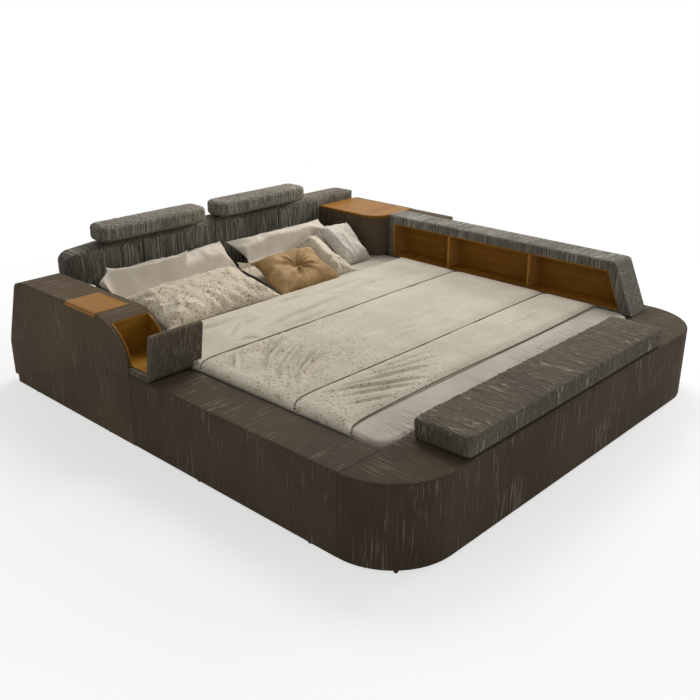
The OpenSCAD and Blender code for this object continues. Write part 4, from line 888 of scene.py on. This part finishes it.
mattress_piece()
sheet_piece()
quilt_piece()
pillow_piece("left_back", "pillow_left_back", "back_pillow_left", white_linen, "linen", ("left_side", "left_front"),
             folds=drape_crease, seed=1.0, pulls=(((1, 1), 0.5, (6, 0, 18)),))
pillow_piece("left_side", "pillow_left_side", "side_pillow_left", white_linen, "linen", ("left_front",),
             folds=side_crease, seed=2.3, pulls=SIDE_PULLS)
pillow_piece("left_front", "pillow_left_front", "front_pillow_left", sprig_cotton, "floral_cotton", seed=3.1,
             folds=hem_folds)
pillow_piece("right_back", "pillow_right_back", "back_pillow_right", white_linen, "linen",
             ("right_side", "right_front", "tan_square"), seed=4.2, folds=drape_crease)
pillow_piece("right_front", "pillow_right_front", "front_pillow_right", sprig_cotton, "floral_cotton", ("tan_square",),
             folds=drape_crease, seed=5.7, wrinkle=0.08, pulls=(((1, 1), 0.9, (8, 0, 22)),))
pillow_piece("right_side", "pillow_right_side", "side_pillow_right", leaf_cotton, "linen", seed=6.4, n=(60, 60),
             wrinkle=0.10, pulls=(((1, 1), 0.6, (16, -16, 0)),))
pillow_piece("tan_square", "knotted_cushion", "knotted_cushion_body", tan_satin, "tan_linen", folds=knot_folds,
             n=(150, 140), seed=7.9, wrinkle=0.02, pulls=TAN_PULLS)


def knot_piece():
    """The small gathered knot in the middle of the tan cushion."""
    rot, shift = pillow_frame("tan_square")
    t = PILLOWS["tan_square"][3]
    nu, nv = 40, 20
    points, faces = [], []
    for j in range(nv + 1):
        lat = math.pi * j / nv - math.pi / 2
        for i in range(nu):
            lon = 2 * math.pi * i / nu
            fold = 1 + 0.10 * math.sin(5 * lon + 2 * lat) + 0.06 * math.sin(9 * lon)
            r = KNOT_R * math.cos(lat) * fold
            p = np.array([KNOT[0] + KNOT_OFF[0] + r * math.cos(lon) * 1.3,
                          KNOT[1] + KNOT_OFF[1] + r * math.sin(lon) * 0.75,
                          t * CROWN * 0.62 + KNOT_H * math.sin(lat) * fold])
            points.append(at(*(rot @ p + shift)))
    for j in range(nv):
        for i in range(nu):
            k = (i + 1) % nu
            faces.append((j * nu + i, j * nu + k, (j + 1) * nu + k, (j + 1) * nu + i))
    finished(from_arrays("cushion_knot", points, faces, tan_satin), "tan_linen")


knot_piece()


# Floor, light and camera

# What the surround gives the object: its colour and its strength
SKY_HUE, SKY_LEVEL = (1.0, 0.985, 0.96, 1), 0.36


def background_share(tree):
    """1 for rays from the camera, from gloss and through glass, and 0 for those that light the object."""
    rays = tree.nodes.new("ShaderNodeLightPath")
    seen = rays.outputs["Is Camera Ray"]
    for kind in ("Is Glossy Ray", "Is Transmission Ray"):
        larger = tree.nodes.new("ShaderNodeMath")
        larger.operation = "MAXIMUM"
        tree.links.new(seen, larger.inputs[0])
        tree.links.new(rays.outputs[kind], larger.inputs[1])
        seen = larger.outputs[0]
    return seen


def studio():
    """A pale floor that turns white from 1.2 m to 3.4 m out, a white surround and three soft lamps."""
    floor = Mat("studio_floor", 0.9)
    floor.colour(floor.mix(floor.noise(floor.place((3, 3, 3)), 2), tint(250, 250, 250), tint(253, 253, 253)))
    mesh = bpy.data.meshes.new("studio_floor")
    mesh.from_pydata([(-30, -30, 0), (30, -30, 0), (30, 30, 0), (-30, 30, 0)], [], [(0, 1, 2, 3)])
    new_object("studio_floor", mesh, floor.mat)
    glow = floor.add("ShaderNodeEmission")
    glow.inputs["Color"].default_value = (1, 1, 1, 1)
    glow.inputs["Strength"].default_value = 1.0
    share = floor.add("ShaderNodeMixShader")
    away = floor.add("ShaderNodeVectorMath", operation="LENGTH")
    floor.link(floor.flat, away.inputs[0])
    white = floor.ranged(away.outputs["Value"], 1.2, 3.4, 0.62, 1.0)
    floor.link(floor.math("MULTIPLY", background_share(floor.tree), white), share.inputs[0])
    floor.link(floor.shader.outputs[0], share.inputs[1])
    floor.link(glow.outputs[0], share.inputs[2])
    floor.link(share.outputs[0], floor.tree.nodes["Material Output"].inputs["Surface"])

    world = bpy.data.worlds.new("studio")
    bpy.context.scene.world = world
    world.use_nodes = True
    tree = world.node_tree
    back = tree.nodes["Background"]
    seen = background_share(tree)
    hue = tree.nodes.new("ShaderNodeMix")
    hue.data_type = "RGBA"
    hue.inputs[6].default_value = SKY_HUE
    hue.inputs[7].default_value = (1, 1, 1, 1)
    tree.links.new(seen, hue.inputs[0])
    tree.links.new(hue.outputs[2], back.inputs["Color"])
    amount = tree.nodes.new("ShaderNodeMapRange")
    tree.links.new(seen, amount.inputs["Value"])
    amount.inputs["To Min"].default_value = SKY_LEVEL
    amount.inputs["To Max"].default_value = 1.0
    tree.links.new(amount.outputs["Result"], back.inputs["Strength"])

    def lamp(name, place, aim, size, power, colour):
        """A flat lamp, with its places and sizes in metres and its power in watts."""
        data = bpy.data.lights.new(name, "AREA")
        data.shape = "RECTANGLE"
        data.size, data.size_y = size
        data.energy = power
        data.color = colour
        obj = bpy.data.objects.new(name, data)
        bpy.context.collection.objects.link(obj)
        obj.location = place
        obj.rotation_euler = (Vector(aim) - Vector(place)).to_track_quat("-Z", "Y").to_euler()

    lamp("key_light", (1.9, 1.5, 4.2), (0.2, 0.0, 0.3), (2.6, 2.0), 155, (1.0, 0.96, 0.91))
    lamp("side_light", (4.6, -1.6, 2.8), (0.4, -0.3, 0.3), (2.0, 1.6), 112, (1.0, 0.955, 0.9))
    lamp("front_fill", (-3.8, -4.2, 2.6), (0, 0, 0.3), (3.0, 2.0), 24, (1.0, 0.97, 0.93))


# Width of the camera's sensor in millimetres, and of the photograph in pixels
SENSOR, PHOTO = 36, 700


def camera():
    """The photograph's viewpoint, worked out from straight edges: angles in radians, focal length in pixels."""
    yaw, pitch, focal, eye = 0.8187, 0.3836, 898.66, (-2.9751, -2.7584, 1.8048)
    data = bpy.data.cameras.new("photo_camera")
    data.sensor_width = SENSOR
    data.lens = SENSOR * focal / PHOTO
    data.clip_end = 200
    obj = bpy.data.objects.new("photo_camera", data)
    bpy.context.collection.objects.link(obj)
    ahead = Vector((math.sin(yaw) * math.cos(pitch), math.cos(yaw) * math.cos(pitch), -math.sin(pitch)))
    right = Vector((math.cos(yaw), -math.sin(yaw), 0))
    up = right.cross(ahead)
    turn = Matrix((right, up, -ahead)).transposed().to_4x4()
    turn.translation = Vector(eye)
    obj.matrix_world = turn
    bpy.context.scene.camera = obj


studio()
camera()
bpy.context.scene.view_settings.view_transform = "Standard"
